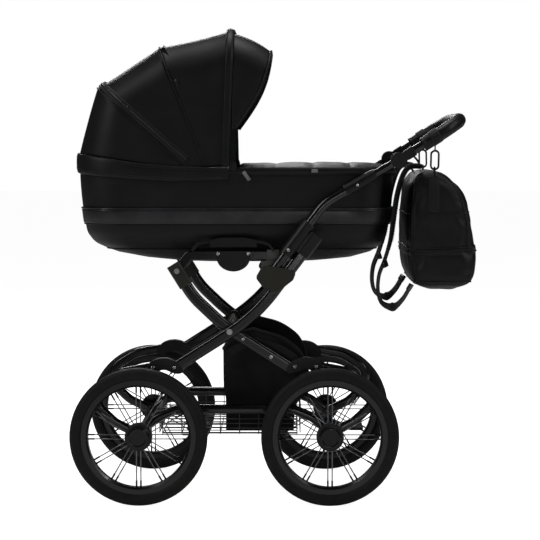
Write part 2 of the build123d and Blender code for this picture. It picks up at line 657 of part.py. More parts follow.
LEAN = math.radians(CLIP_LEAN)
D_RING_Y = CLIP_Y - (CLIP_H - CLIP_WIRE) * math.sin(LEAN)
D_RING_TOP = HANG_Z - (CLIP_H - CLIP_WIRE) * math.cos(LEAN) + (CLIP_WIRE + D_RING_WIRE) / 2 + 2 * SEAT_GAP


def bag_hook(side):
    """Clip through the hanger's eye, leaning in to the D-ring that it holds."""
    clip = Pos(CLIP_X, side * CLIP_Y, HANG_Z) * Rot(-side * CLIP_LEAN, 0, 0) * link(CLIP_H, CLIP_W, CLIP_WIRE)
    d_ring = Pos(CLIP_X, side * D_RING_Y, D_RING_TOP) * Rot(0, 0, 90) * link(D_RING_H, D_RING_W, D_RING_WIRE)
    return [clip, d_ring]


def bag_webbing(side):
    """Webbing from the D-ring's lower bar down the bag's side."""
    y0 = BAG_HALF + WIDEN + SEAT_GAP + 1.2
    low = D_RING_TOP - D_RING_H + D_RING_WIRE / 2 - 2 * SEAT_GAP
    path = FilletPolyline((CLIP_X, D_RING_Y, low), (CLIP_X, y0, low - 28), (CLIP_X, y0, 565), radius=15)
    strip = sweep(Plane(origin=path @ 0, x_dir=(1, 0, 0), z_dir=path % 0) * Rectangle(25, 2.4), path=path)
    return strip if side > 0 else mirror(strip, about=Plane.XZ)


# ---------------------------------------------------------------- brake
def brake_pedal():
    x = AXLE_X
    eye = rod(x, 0, -22, 22, AXLE_D + 12)
    lever = plate(outline([(x, -10), (x + 60, -22), (x + 88, -18), (x + 88, -12), (x + 60, -13), (x, 10)]), 0, 30)
    tread = plate(Pos(x + 76, -14) * Rectangle(34, 8), 0, 90)
    return eye + lever + tread - rod(x, 0, -40, 40, AXLE_D + 2 * RUN_FIT)


# ---------------------------------------------------------------- write every node
for end_name, end in (("front", -1), ("rear", 1)):
    for side_name, side in SIDES.items():
        wheel = f"wheel_{end_name}_{side_name}"
        save(f"{wheel}_tyre", tyre(end * AXLE_X, side))
        save(f"{wheel}_rim", rim(end * AXLE_X, side), *spokes(end * AXLE_X, side))
        save(f"{wheel}_hub", *hub(end * AXLE_X, side))
    save(f"{end_name}_axle", axle(end * AXLE_X))

run_bore = PIVOT_D + 2 * RUN_FIT
fix_bore = PIVOT_D + 2 * SEAT_GAP
CROSS_HUB_T = 14.0
CROSS_TUBE_HALF = CROSS_Y - LEG_W / 2 - 2 * SEAT_GAP - CROSS_HUB_T
save("push_legs", *both(lambda s: leg(PUSH_LEG, s * PUSH_Y, [(CROSS_PIVOT, run_bore)])))
save("push_arms", *both(push_arm))
save("front_springs", *both(lambda s: spring(-1, s * PUSH_Y)))
save("front_spring_saddles", *both(lambda s: saddle(-1, PUSH_LEG, s * PUSH_Y)))
save("arm_hinge_housings", *both(hinge_housing))
save("arm_collars", *both(arm_collar))
save("seat_latch_pins", *both(lambda s: rod(*LATCH_PIN, s * (SEAT_Y - SEAT_RAIL_W / 2),
                                            s * (PUSH_Y - HOUSING_W / 2), PIVOT_D)))

save("cross_legs", *both(lambda s: leg(CROSS_LEG, s * CROSS_Y, [(CROSS_PIVOT, fix_bore), (SEAT_PIVOT, fix_bore)])),
     rod(*CROSS_PIVOT, -CROSS_TUBE_HALF, CROSS_TUBE_HALF, 24))
save("rear_springs", *both(lambda s: spring(1, s * CROSS_Y)))
save("rear_spring_saddles", *both(lambda s: saddle(1, CROSS_LEG, s * CROSS_Y)))


def leg_cap(side):
    """Cap over the top of a cross leg, bored for the seat pivot."""
    top, low = CROSS_LEG[-1], CROSS_LEG[-2]
    d = direction(low, top)
    start = along(top, d, -56)
    body = straight(start, d, 0, 64, RectangleRounded(CAP_W, LEG_D + 5, 7))
    body -= swept(leg_path(CROSS_LEG), oval(LEG_D, LEG_W, SEAT_GAP))
    return Pos(0, side * CROSS_Y, 0) * (body - rod(*SEAT_PIVOT, -30, 30, fix_bore))


def cross_bolt(side):
    """Bolt through both legs at the crossing, with a spacer collar between them."""
    out = PUSH_Y + LEG_W / 2 + SEAT_GAP
    mid0, mid1 = CROSS_Y + LEG_W / 2 + SEAT_GAP, PUSH_Y - LEG_W / 2 - SEAT_GAP
    body = rod(*CROSS_PIVOT, side * (CROSS_Y - LEG_W / 2 - SEAT_GAP - 1), side * (out + 1), PIVOT_D)
    body += rod(*CROSS_PIVOT, side * out, side * (out + 3), 15)
    return body + rod(*CROSS_PIVOT, side * mid0, side * mid1, 20)


def cross_hub(side):
    """Olive spacer disc on the inner side of the crossing, which the cross tube ends in."""
    y1 = CROSS_Y - LEG_W / 2 - SEAT_GAP
    return rod(*CROSS_PIVOT, side * (y1 - CROSS_HUB_T), side * y1, 36) - rod(
        *CROSS_PIVOT, side * (y1 - 4), side * (y1 + 1), PIVOT_D + 2 * SEAT_GAP)


def seat_pivot_pin(side):
    """Pin fixed in the cross leg, on which the seat rail turns, with a head outside."""
    y0 = SEAT_Y - SEAT_RAIL_W / 2 + 1
    y1 = CROSS_Y + CAP_W / 2 + SEAT_GAP
    return rod(*SEAT_PIVOT, side * y0, side * (y1 + 0.5), PIVOT_D) + rod(
        *SEAT_PIVOT, side * y1, side * (y1 + 2.2), 14)


save("cross_leg_caps", *both(leg_cap), *both(cross_hub))
save("cross_leg_pins", *both(cross_bolt), *both(seat_pivot_pin))

SEAT_TUBE_HALF = SEAT_Y - SEAT_RAIL_W / 2 - SEAT_GAP

save("front_rails", *both(front_rail))
save("rear_rails", *both(rear_rail))
save("wire_basket", *wire_panels())
save("fabric_basket", fabric_basket())

save("seat_rails", *both(seat_rail), rod(*SEAT_PIVOT, -SEAT_TUBE_HALF, SEAT_TUBE_HALF, 20))
save("seat_latch_hooks", *both(latch_block))
save("seat_adapters", *both(adapter))

for side_name, side in SIDES.items():
    save(f"lock_sleeve_{side_name}", lock_sleeve(side))
    save(f"cot_latch_{side_name}", cot_latch(side))
save("handle_stems", *both(handle_stem))
save("handle_yokes", *both(handle_yoke))
save("handle_tube", handle_sweep(YOKE_REACH + SEAT_GAP, Circle(HANDLE_TUBE / 2)))
save("handle_grip", handle_sweep(GRIP_START, Circle(GRIP_D / 2) - Circle(HANDLE_TUBE / 2 + SEAT_GAP)))
save("bag_hanger_loops", *both(hanger_loop))

save("cot_tub", cot_tub())
save("cot_mattress", cot_mattress())
save("cot_trim_band", skin(BAND_Z0, BAND_Z1, BAND_T))
save("cot_apron", apron())
save("hood_collar", collar())
save("hood_pivot_brackets", *both(hood_bracket))
for order, name in enumerate(("rear", "mid", "front")):
    save(f"hood_{name}_bow", hood_bow(name, order))
save("hood_rear_panel", hood_panel("collar", "rear"))
save("hood_mid_panel", hood_panel("rear", "mid", turn0=-0.1))
save("hood_front_panel", hood_panel("mid", "front", turn0=-0.1))
save("hood_visor", hood_panel("front", "visor", foot0=95.0, foot1=205.0, inset=PANEL_T + 1.5, turn0=1.0))

save("bag_body", bag_part(BAG_SPLIT_Z, 800), bag_part(300, BAG_SPLIT_Z - SEAT_GAP))
save("bag_straps", *(solid for s in (-1, 1) for solid in bag_strap(s)), *both(bag_webbing))
save("bag_hooks", *(solid for s in (-1, 1) for solid in bag_hook(s)))
save("brake_pedal", brake_pedal())
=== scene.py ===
"""Retro pram: the finish, the soft goods and the studio, built on the shared frame."""
import math

import bmesh
import bpy
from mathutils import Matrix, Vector, noise
from mathutils.bvhtree import BVHTree


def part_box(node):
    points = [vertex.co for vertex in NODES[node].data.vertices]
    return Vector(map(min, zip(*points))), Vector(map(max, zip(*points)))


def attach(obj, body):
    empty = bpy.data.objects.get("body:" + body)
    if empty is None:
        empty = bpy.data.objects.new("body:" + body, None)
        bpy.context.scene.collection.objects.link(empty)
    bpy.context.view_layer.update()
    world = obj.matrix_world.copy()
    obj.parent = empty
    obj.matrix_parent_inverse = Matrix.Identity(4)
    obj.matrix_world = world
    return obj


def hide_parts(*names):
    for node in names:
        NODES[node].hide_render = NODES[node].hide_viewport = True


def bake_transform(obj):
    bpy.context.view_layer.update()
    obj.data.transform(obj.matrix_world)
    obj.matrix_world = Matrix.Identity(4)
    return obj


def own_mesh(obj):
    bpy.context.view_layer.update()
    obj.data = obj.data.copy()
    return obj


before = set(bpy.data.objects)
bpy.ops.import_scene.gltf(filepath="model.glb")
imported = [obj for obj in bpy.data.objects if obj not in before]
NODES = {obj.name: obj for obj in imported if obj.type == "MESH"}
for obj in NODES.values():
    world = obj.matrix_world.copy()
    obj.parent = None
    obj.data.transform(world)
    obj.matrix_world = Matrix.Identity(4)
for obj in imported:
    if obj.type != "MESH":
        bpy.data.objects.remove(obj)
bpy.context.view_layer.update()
TAU = 2 * math.pi

bl_info = {
    "name": "Retro pram",
    "version": (1, 0, 0),
    "blender": (4, 5, 0),
    "location": "3D View > Sidebar > Pram",
    "description": "Makes the hood, carrycot, bag, basket and finishes of a retro pram",
    "category": "Object",
}

# The drawing frame of the chassis: millimetres, zero on the axles midway between the wheels.
CENTRE_X, AXLE_Z = 100.0, 175.0
LEG_PLANE, CROSS_PLANE, HOOD_HALF = 226.0, 202.0, 197.0


def P(x, y, z):
    """A point of the drawing frame in the row frame, in metres."""
    return Vector(((x - CENTRE_X) / 1000, y / 1000, (z + AXLE_Z) / 1000))


# ------------------------------------------------------------------ materials
def colour(text):
    """sRGB hex to linear RGBA."""
    parts = [int(text[i:i + 2], 16) / 255 for i in (1, 3, 5)]
    return tuple(c / 12.92 if c <= 0.04045 else ((c + 0.055) / 1.055) ** 2.4 for c in parts) + (1.0,)


def add(tree, kind, inputs=None, **settings):
    """Add one node: settings are its properties, inputs its values or the sockets linked to them."""
    node = tree.nodes.new(kind)
    for key, value in settings.items():
        setattr(node, key, value)
    for key, value in (inputs or {}).items():
        if isinstance(value, bpy.types.NodeSocket):
            tree.links.new(value, node.inputs[key])
        else:
            node.inputs[key].default_value = value
    return node


def shader(name, **values):
    """A new material, its tree, its principled shader and the object coordinates."""
    mat = bpy.data.materials.new(name)
    mat.use_nodes = True
    tree = mat.node_tree
    bsdf = tree.nodes["Principled BSDF"]
    for key, value in values.items():
        bsdf.inputs[key.replace("_", " ")].default_value = value
    coords = add(tree, "ShaderNodeTexCoord").outputs["Object"]
    return mat, tree, bsdf, coords


def shade(tree, bsdf, source, dark, light, low=0.35, high=0.65):
    """Vary the base colour between two hex colours by a grey source."""
    ramp = add(tree, "ShaderNodeValToRGB", {"Fac": source})
    ramp.color_ramp.elements[0].position = low
    ramp.color_ramp.elements[1].position = high
    ramp.color_ramp.elements[0].color = colour(dark)
    ramp.color_ramp.elements[1].color = colour(light)
    tree.links.new(ramp.outputs["Color"], bsdf.inputs["Base Color"])


def rough_range(tree, bsdf, source, low, high):
    out = add(tree, "ShaderNodeMapRange", {"Value": source, "To Min": low, "To Max": high}).outputs["Result"]
    tree.links.new(out, bsdf.inputs["Roughness"])


def bump(tree, height, depth_mm, strength=1.0, under=None):
    """Bump whose full height is a real depth in millimetres."""
    inputs = {"Height": height, "Distance": depth_mm / 1000, "Strength": strength}
    if under is not None:
        inputs["Normal"] = under
    return add(tree, "ShaderNodeBump", inputs).outputs["Normal"]


def leatherette(name, dark, light, rough, grain_mm=1.6, coat=0.0):
    """PU-coated cloth, embossed with a calf grain: soft sheen, fine pebble and slack wrinkles."""
    mat, tree, bsdf, co = shader(name, IOR=1.42, Coat_Weight=coat, Coat_Roughness=0.2)
    pebble = add(tree, "ShaderNodeTexVoronoi", {"Vector": co, "Scale": 1000 / grain_mm}, feature="SMOOTH_F1")
    cloud = add(tree, "ShaderNodeTexNoise", {"Vector": co, "Scale": 1000 / 60, "Detail": 4.0})
    crease = add(tree, "ShaderNodeTexNoise", {"Vector": co, "Scale": 1000 / 110, "Detail": 2.0, "Distortion": 0.8})
    shade(tree, bsdf, cloud.outputs["Fac"], dark, light)
    rough_range(tree, bsdf, cloud.outputs["Fac"], rough - 0.07, rough + 0.08)
    slack = bump(tree, crease.outputs["Fac"], 4.0, 0.35)
    normal = bump(tree, pebble.outputs["Distance"], 0.25, 0.5, slack)
    tree.links.new(normal, bsdf.inputs["Normal"])
    return mat


def woven(name, dark, light, thread_mm, rough=0.85, axes="XZ"):
    """Plain weave: over and under threads as two crossed waves, a matt ground that breaks the light up."""
    mat, tree, bsdf, co = shader(name, IOR=1.45, Sheen_Weight=0.15, Sheen_Roughness=0.5)
    parts = [add(tree, "ShaderNodeTexWave", {"Vector": co, "Scale": 1000 / thread_mm / 6.28, "Distortion": 0.4},
                 bands_direction=axis).outputs["Fac"] for axis in axes]
    weave = add(tree, "ShaderNodeMath", {0: parts[0], 1: parts[1]}, operation="MULTIPLY").outputs["Value"]
    cloud = add(tree, "ShaderNodeTexNoise", {"Vector": co, "Scale": 22.0, "Detail": 3.0})
    mixed = add(tree, "ShaderNodeMath", {0: weave, 1: cloud.outputs["Fac"]}, operation="MULTIPLY")
    shade(tree, bsdf, mixed.outputs["Value"], dark, light, 0.1, 0.5)
    rough_range(tree, bsdf, cloud.outputs["Fac"], rough - 0.08, rough + 0.05)
    soft = bump(tree, cloud.outputs["Fac"], 3.0, 0.3)
    tree.links.new(bump(tree, weave, 0.4, 0.6, soft), bsdf.inputs["Normal"])
    return mat


def powder_coat(name, dark, light, rough, metallic=0.0):
    """Baked powder over tube: satin-gloss with a slight orange peel of about 2 mm."""
    mat, tree, bsdf, co = shader(name, Metallic=metallic, Coat_Weight=0.5, Coat_Roughness=0.12)
    peel = add(tree, "ShaderNodeTexNoise", {"Vector": co, "Scale": 1000 / 2.0, "Detail": 2.0})
    cloud = add(tree, "ShaderNodeTexNoise", {"Vector": co, "Scale": 14.0, "Detail": 5.0})
    shade(tree, bsdf, cloud.outputs["Fac"], dark, light)
    rough_range(tree, bsdf, cloud.outputs["Fac"], rough - 0.06, rough + 0.06)
    tree.links.new(bump(tree, peel.outputs["Fac"], 0.05, 0.4), bsdf.inputs["Normal"])
    return mat


def moulded(name, dark, light, rough, texture_mm=0.9):
    """Injection-moulded plastic: spark-eroded matt texture, edges rubbed a little brighter."""
    mat, tree, bsdf, co = shader(name, IOR=1.42)
    grain = add(tree, "ShaderNodeTexNoise", {"Vector": co, "Scale": 1000 / texture_mm, "Detail": 2.0})
    cloud = add(tree, "ShaderNodeTexNoise", {"Vector": co, "Scale": 25.0, "Detail": 4.0})
    edge = add(tree, "ShaderNodeNewGeometry").outputs["Pointiness"]
    # Convex edges, found by pointiness, shift the base colour a little lighter.
    convex_edge_tint = add(tree, "ShaderNodeMapRange", {"Value": edge, "From Min": 0.5, "From Max": 0.62}).outputs["Result"]
    both = add(tree, "ShaderNodeMath", {0: cloud.outputs["Fac"], 1: convex_edge_tint}, operation="ADD", use_clamp=True)
    shade(tree, bsdf, both.outputs["Value"], dark, light, 0.3, 0.95)
    rough_range(tree, bsdf, cloud.outputs["Fac"], rough - 0.06, rough + 0.08)
    tree.links.new(bump(tree, grain.outputs["Fac"], 0.08, 0.5), bsdf.inputs["Normal"])
    return mat


def turned_steel(name, base, rough):
    """Zinc-plated steel, turned or drawn: fine lines and a cool glint."""
    mat, tree, bsdf, co = shader(name, Metallic=1.0)
    lines = add(tree, "ShaderNodeTexNoise", {"Vector": co, "Scale": 1000 / 0.8, "Detail": 2.0})
    cloud = add(tree, "ShaderNodeTexNoise", {"Vector": co, "Scale": 60.0, "Detail": 3.0})
    shade(tree, bsdf, cloud.outputs["Fac"], base, base)
    rough_range(tree, bsdf, cloud.outputs["Fac"], rough - 0.05, rough + 0.12)
    tree.links.new(bump(tree, lines.outputs["Fac"], 0.03, 0.4), bsdf.inputs["Normal"])
    return mat


def wheel_polar(tree, co):
    """Angle and radius about the nearest wheel's axis, and the maths helper."""
    xyz = add(tree, "ShaderNodeSeparateXYZ", {"Vector": co})
    low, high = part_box("wheel_rear_left_tyre")
    front_low, front_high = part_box("wheel_front_left_tyre")
    middle = (low[0] + high[0] + front_low[0] + front_high[0]) / 4
    reach = (low[0] + high[0]) / 2 - middle

    def maths(operation, a, b=0.0):
        return add(tree, "ShaderNodeMath", {0: a, 1: b}, operation=operation).outputs["Value"]

    across = maths("SUBTRACT", maths("ABSOLUTE", maths("SUBTRACT", xyz.outputs["X"], middle)), reach)
    up = maths("SUBTRACT", xyz.outputs["Z"], (low[2] + high[2]) / 2)
    radius = maths("SQRT", maths("ADD", maths("MULTIPLY", across, across), maths("MULTIPLY", up, up)))
    return maths("ARCTAN2", up, across), radius, maths


def tyre_rubber(name, lugs=88, lug_from_mm=154.0):
    """Vulcanised rubber: matt, dusty, with moulded shoulder blocks counted round the wheel."""
    mat, tree, bsdf, co = shader(name, IOR=1.38)
    turn, radius, maths = wheel_polar(tree, co)
    block = maths("GREATER_THAN", maths("SINE", maths("MULTIPLY", turn, float(lugs))), -0.35)
    tread = maths("MULTIPLY", block, maths("GREATER_THAN", radius, lug_from_mm / 1000))
    dust = add(tree, "ShaderNodeTexNoise", {"Vector": co, "Scale": 45.0, "Detail": 6.0}).outputs["Fac"]
    grain = add(tree, "ShaderNodeTexNoise", {"Vector": co, "Scale": 1000 / 1.2, "Detail": 2.0}).outputs["Fac"]
    shade(tree, bsdf, dust, "#0d0d0d", "#1b1b1a", 0.3, 0.7)
    rough_range(tree, bsdf, dust, 0.5, 0.75)
    fine = bump(tree, grain, 0.1, 0.4)
    tree.links.new(bump(tree, tread, 1.2, 0.8, fine), bsdf.inputs["Normal"])
    return mat


def rim_and_spokes(name, rim_from_mm=123.0):
    """Gloss-black painted rim, and inside it spokes of bare dark zinc that catch the light."""
    mat, tree, bsdf, co = shader(name, Coat_Weight=0.4, Coat_Roughness=0.1)
    _, radius, maths = wheel_polar(tree, co)
    spoke = maths("LESS_THAN", radius, rim_from_mm / 1000)
    shade(tree, bsdf, spoke, "#08080a", "#77787c", 0.2, 0.8)
    tree.links.new(spoke, bsdf.inputs["Metallic"])
    cloud = add(tree, "ShaderNodeTexNoise", {"Vector": co, "Scale": 30.0, "Detail": 4.0}).outputs["Fac"]
    rough_range(tree, bsdf, cloud, 0.2, 0.38)
    tree.links.new(bump(tree, cloud, 0.05, 0.3), bsdf.inputs["Normal"])
    return mat


M = {}


def make_materials(props):
    M["leather"] = leatherette("PU leatherette, embossed", props.leather_dark, props.leather_light, 0.50)
    M["trim"] = leatherette("PU leatherette, glazed trim", "#252528", "#353538", 0.34, 1.2, coat=0.25)
    M["grip"] = leatherette("Stitched grip leather", "#0a0a0b", "#131314", 0.42, 1.3)
    M["lining"] = woven("Lining cotton", "#0e0e0f", "#1a1a1c", 1.2)
    M["cloth"] = woven("Basket polyamide, woven", "#070708", "#101013", 1.3, 0.8)
    M["webbing"] = woven("Polyamide webbing", "#080809", "#111112", 2.0, 0.65)
    M["mattress"] = woven("Mattress cotton", "#b9b6ab", "#d8d5cb", 1.5)
    M["mesh_base"] = woven("Ribbed base cloth", "#0b0b0c", "#1a1a1c", 4.0, 0.7, "XY")
    M["tube"] = powder_coat("Powder-coated tube", "#040405", "#080809", 0.22)
    M["spoke"] = rim_and_spokes("Painted rim with zinc spokes")
    M["wire"] = powder_coat("Powder-coated basket wire", "#3a3b3d", "#55565a", 0.38, 0.6)
    M["olive"] = moulded("Glass-filled nylon, olive grey", "#191813", "#2e2d26", 0.45)
    M["plastic"] = moulded("ABS, black textured", "#08080a", "#161618", 0.4)
    M["grey"] = moulded("ABS, mid grey", "#4a4a48", "#6a6a67", 0.45)
    M["gloss"] = moulded("ABS, polished black", "#0a0a0b", "#1b1b1d", 0.16, 3.0)
    M["steel"] = turned_steel("Zinc-plated axle steel", "#2a2b2d", 0.34)
    M["bright"] = turned_steel("Nickel-plated fasteners", "#c9c9c7", 0.2)
    M["rubber"] = tyre_rubber("Vulcanised tyre rubber")
    M["thread"] = woven("Sewing thread", "#0b0b0c", "#151516", 0.8, 0.6)
    M["label"] = woven("Woven label, plain", "#85868a", "#a9aaae", 0.8, 0.6)


CAD_FINISH = {
    "tube": ["seat_rails", "cross_legs", "rear_springs", "push_legs", "push_arms", "front_springs", "front_rails",
             "rear_rails", "handle_stems", "handle_tube"],
    "olive": ["cross_leg_caps", "arm_hinge_housings"],
    "plastic": ["seat_adapters", "rear_spring_saddles", "front_spring_saddles", "arm_collars", "lock_sleeve_left",
                "lock_sleeve_right", "handle_yokes", "hood_pivot_brackets", "cot_latch_left", "cot_latch_right",
                "brake_pedal"],
    "grey": ["seat_latch_hooks"],
    "bright": ["cross_leg_pins", "seat_latch_pins"],
    "steel": ["rear_axle", "front_axle", "hood_rear_bow", "hood_mid_bow", "hood_front_bow", "bag_hooks"],
    "wire": ["wire_basket"],
    "rubber": [f"wheel_{e}_{s}_tyre" for e in ("front", "rear") for s in ("left", "right")],
    "spoke": [f"wheel_{e}_{s}_rim" for e in ("front", "rear") for s in ("left", "right")],
    "gloss": [f"wheel_{e}_{s}_hub" for e in ("front", "rear") for s in ("left", "right")],
}


# ------------------------------------------------------------------ mesh helpers
def piece(name, verts, faces, material, smooth=True):
    mesh = bpy.data.meshes.new(name)
    mesh.from_pydata([tuple(v) for v in verts], [], faces)
    mesh.validate()
    bm = bmesh.new()
    bm.from_mesh(mesh)
    bmesh.ops.recalc_face_normals(bm, faces=bm.faces)
    bm.to_mesh(mesh)
    bm.free()
    for poly in mesh.polygons:
        poly.use_smooth = smooth
    obj = bpy.data.objects.new(name, mesh)
    bpy.context.scene.collection.objects.link(obj)
    mesh.materials.append(material)
    return obj


def grid_faces(rows, cols, closed_rows=False, closed_cols=False):
    faces = []
    for i in range(rows if closed_rows else rows - 1):
        for j in range(cols if closed_cols else cols - 1):
            a, b = i * cols, ((i + 1) % rows) * cols
            k = (j + 1) % cols
            faces.append((a + j, a + k, b + k, b + j))
    return faces


def sheet_mesh(name, rows, material, closed_rows=False, closed_cols=False, caps=False):
    """A grid of points as a surface; caps close the first and last rows of a tube."""
    verts = [v for row in rows for v in row]
    cols = len(rows[0])
    faces = grid_faces(len(rows), cols, closed_rows, closed_cols)
    if caps:
        faces.append(tuple(range(cols))[::-1])
        faces.append(tuple(range(len(verts) - cols, len(verts))))
    return piece(name, verts, faces, material)


def apply_modifiers(obj):
    depsgraph = bpy.context.evaluated_depsgraph_get()
    mesh = bpy.data.meshes.new_from_object(obj.evaluated_get(depsgraph))
    obj.modifiers.clear()
    obj.data = mesh


def subdivide(obj, levels=1):
    mod = obj.modifiers.new("smooth", "SUBSURF")
    mod.levels = mod.render_levels = levels
    apply_modifiers(obj)


def thicken(obj, mm, offset=-1.0):
    mod = obj.modifiers.new("thickness", "SOLIDIFY")
    mod.thickness = mm / 1000
    mod.offset = offset
    apply_modifiers(obj)


def smooth_line(points, steps=8, closed=False):
    """Catmull-Rom points through the given ones."""
    pts = [Vector(p) for p in points]
    count = len(pts)
    out = []
    for i in range(count if closed else count - 1):
        a = pts[(i - 1) % count] if closed or i else pts[0]
        b, c = pts[i], pts[(i + 1) % count]
        d = pts[(i + 2) % count] if closed or i + 2 < count else pts[-1]
        for k in range(steps):
            t = k / steps
            out.append(0.5 * (2 * b + (c - a) * t + (2 * a - 5 * b + 4 * c - d) * t * t
                              + (3 * b - a - 3 * c + d) * t ** 3))
    if not closed:
        out.append(pts[-1])
    return out


def section_ring(width, height, sides, power=2.0):
    """Points round a superellipse section, in metres, as (side, up)."""
    ring = []
    for i in range(sides):
        a = TAU * i / sides
        c, s = math.cos(a), math.sin(a)
        ring.append((math.copysign(abs(c) ** (2 / power), c) * width / 2000,
                     math.copysign(abs(s) ** (2 / power), s) * height / 2000))
    return ring


def strip(name, path, width, height, material, power=2.0, sides=10, closed=False, up=None, swell=None):
    """A cord, strap or piping: a section carried along a path; up is the direction of its height."""
    rows = []
    count = len(path)
    for i, p in enumerate(path):
        ahead = path[(i + 1) % count] if closed or i + 1 < count else path[i]
        behind = path[i - 1] if closed or i else path[i]
        along = (ahead - behind).normalized()
        lift = up[i] if isinstance(up, list) else (up or Vector((0, 0, 1)))
        side = along.cross(lift)
        side = side.normalized() if side.length > 1e-6 else Vector((0, 1, 0))
        lift = side.cross(along).normalized()
        k = swell(i / max(1, count - 1)) if swell else 1.0
        rows.append([p + side * a * k + lift * b * k for a, b in section_ring(width, height, sides, power)])
    return sheet_mesh(name, rows, material, closed_rows=closed, closed_cols=True, caps=not closed)


def stitches(name, path, out, pitch=5.0, size=1.1):
    """A row of short raised stitches along a path; out is the surface direction at each point."""
    verts, faces = [], []
    travelled, target = 0.0, 0.0
    for i in range(1, len(path)):
        step = (path[i] - path[i - 1]).length * 1000
        along = (path[i] - path[i - 1]).normalized()
        while step > 0 and target < travelled + step:
            p = path[i - 1].lerp(path[i], (target - travelled) / step)
            n = out[i].normalized()
            side = along.cross(n).normalized() * size / 2000
            half = along * pitch * 0.32 / 1000
            top = n * size / 1000
            base = len(verts)
            verts += [p - half - side, p + half - side, p + half + side, p - half + side,
                      p - half * 0.6 + top * 0.7, p + half * 0.6 + top * 0.7]
            faces += [(base, base + 1, base + 5, base + 4), (base + 2, base + 3, base + 4, base + 5),
                      (base, base + 4, base + 3), (base + 1, base + 2, base + 5),
                      (base, base + 3, base + 2, base + 1)]
            target += pitch
        travelled += step
    return piece(name, verts, faces, M["thread"])


def rumple(obj, amount_mm, size_mm, keep=None, seed=0.0):
    """Gentle creases: moves the vertices along their normals by a smooth noise."""
    mesh = obj.data
    normals = [v.normal.copy() for v in mesh.vertices]
    for v, n in zip(mesh.vertices, normals):
        weight = keep(v.co) if keep else 1.0
        wave = noise.noise(v.co * (1000 / size_mm) + Vector((seed, seed * 2, 0)))
        v.co += n * wave * weight * amount_mm / 1000
    mesh.update()


def inflate(obj, voxel_mm, cap_mm, pressure=4.0):
    """Swell a closed form as stuffed cloth, by cloth simulation with a cap on how far a point moves."""
    mod = obj.modifiers.new("remesh", "REMESH")
    mod.mode = "VOXEL"
    mod.voxel_size = voxel_mm / 1000
    apply_modifiers(obj)
    start = [v.co.copy() for v in obj.data.vertices]
    cloth = obj.modifiers.new("cloth", "CLOTH")
    cloth.settings.use_pressure = True
    cloth.settings.uniform_pressure_force = pressure
    cloth.settings.effector_weights.gravity = 0.0
    cloth.settings.quality = 4
    cloth.point_cache.frame_end = 20
    for number in range(1, 21):
        bpy.context.scene.frame_set(number)
    apply_modifiers(obj)
    bpy.context.scene.frame_set(1)
    limit = cap_mm / 1000
    for v, home in zip(obj.data.vertices, start):
        move = v.co - home
        if move.length > limit:
            v.co = home + move.normalized() * limit
    for poly in obj.data.polygons:
        poly.use_smooth = True
    return obj


def cling(obj, points, direction, lift_mm=0.6):
    """Carry points along a direction on to a piece's surface; returns the points and the normals there."""
    tree = BVHTree.FromObject(obj, bpy.context.evaluated_depsgraph_get())
    placed, normals = [], []
    for p in points:
        ray = direction(p) if callable(direction) else direction
        hit = tree.ray_cast(p - ray * 0.25, ray, 0.5)
        if hit[0] is None:
            near = tree.find_nearest(p)
            hit = near
        normal = hit[1] if hit[1].dot(ray) < 0 else -hit[1]
        placed.append(hit[0] + normal * lift_mm / 1000)
        normals.append(normal)
    return placed, normals


def ride(objs, body):
    for obj in objs if isinstance(objs, (list, tuple)) else [objs]:
        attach(obj, body)


def pan_screw(name, x, z, y, side, d=9.0):
    """Pan-head screw with a cross recess, standing on a face that looks across the pram."""
    rows = []
    for radius, lift in ((0.5, 0), (0.5, 0.12), (0.44, 0.24), (0.3, 0.3), (0.24, 0.31)):
        ring = []
        for i in range(24):
            a = TAU * i / 24
            dip = 0.12 if radius < 0.28 and i % 6 < 2 else 0.0
            ring.append(P(x + math.cos(a) * radius * d, y + side * (lift - dip) * d, z + math.sin(a) * radius * d))
        rows.append(ring)
    return sheet_mesh(name, rows, M["bright"], closed_cols=True, caps=True)


# ------------------------------------------------------------------ carrycot
# (height, hood end, foot end, half-width, corner radius) from the base up to the rim
COT_SHAPE = [
    (433, -95, 150, 60, 40), (436, -150, 215, 92, 60), (445, -235, 300, 122, 72), (462, -320, 358, 150, 86),
    (485, -370, 386, 174, 96), (512, -388, 396, 188, 102), (545, -395, 402, 195, 106),
    (585, -400, 407, 198, 110), (630, -404, 409, 199.5, 112), (672, -407, 411, 200, 114)]
RIM_SHAPE_Z = 672           # level whose plan the rim, the apron and the collar follow
WHEEL_REACH, WHEEL_PLANE, SPOKE_COUNT, SPOKE_PAIR_OFFSET, LUG_COUNT = 243, 275, 24, 5.5, 176
TYRE_CORE_R, TYRE_HALF_H, TYRE_HALF_W, LUG_HEIGHT = 159.5, 15.0, 21.5, 1.3


def shape_at(z):
    rows = COT_SHAPE
    z = min(max(z, rows[0][0]), rows[-1][0])
    for low, high in zip(rows, rows[1:]):
        if z <= high[0]:
            t = (z - low[0]) / (high[0] - low[0])
            return [a + (b - a) * t for a, b in zip(low[1:], high[1:])]


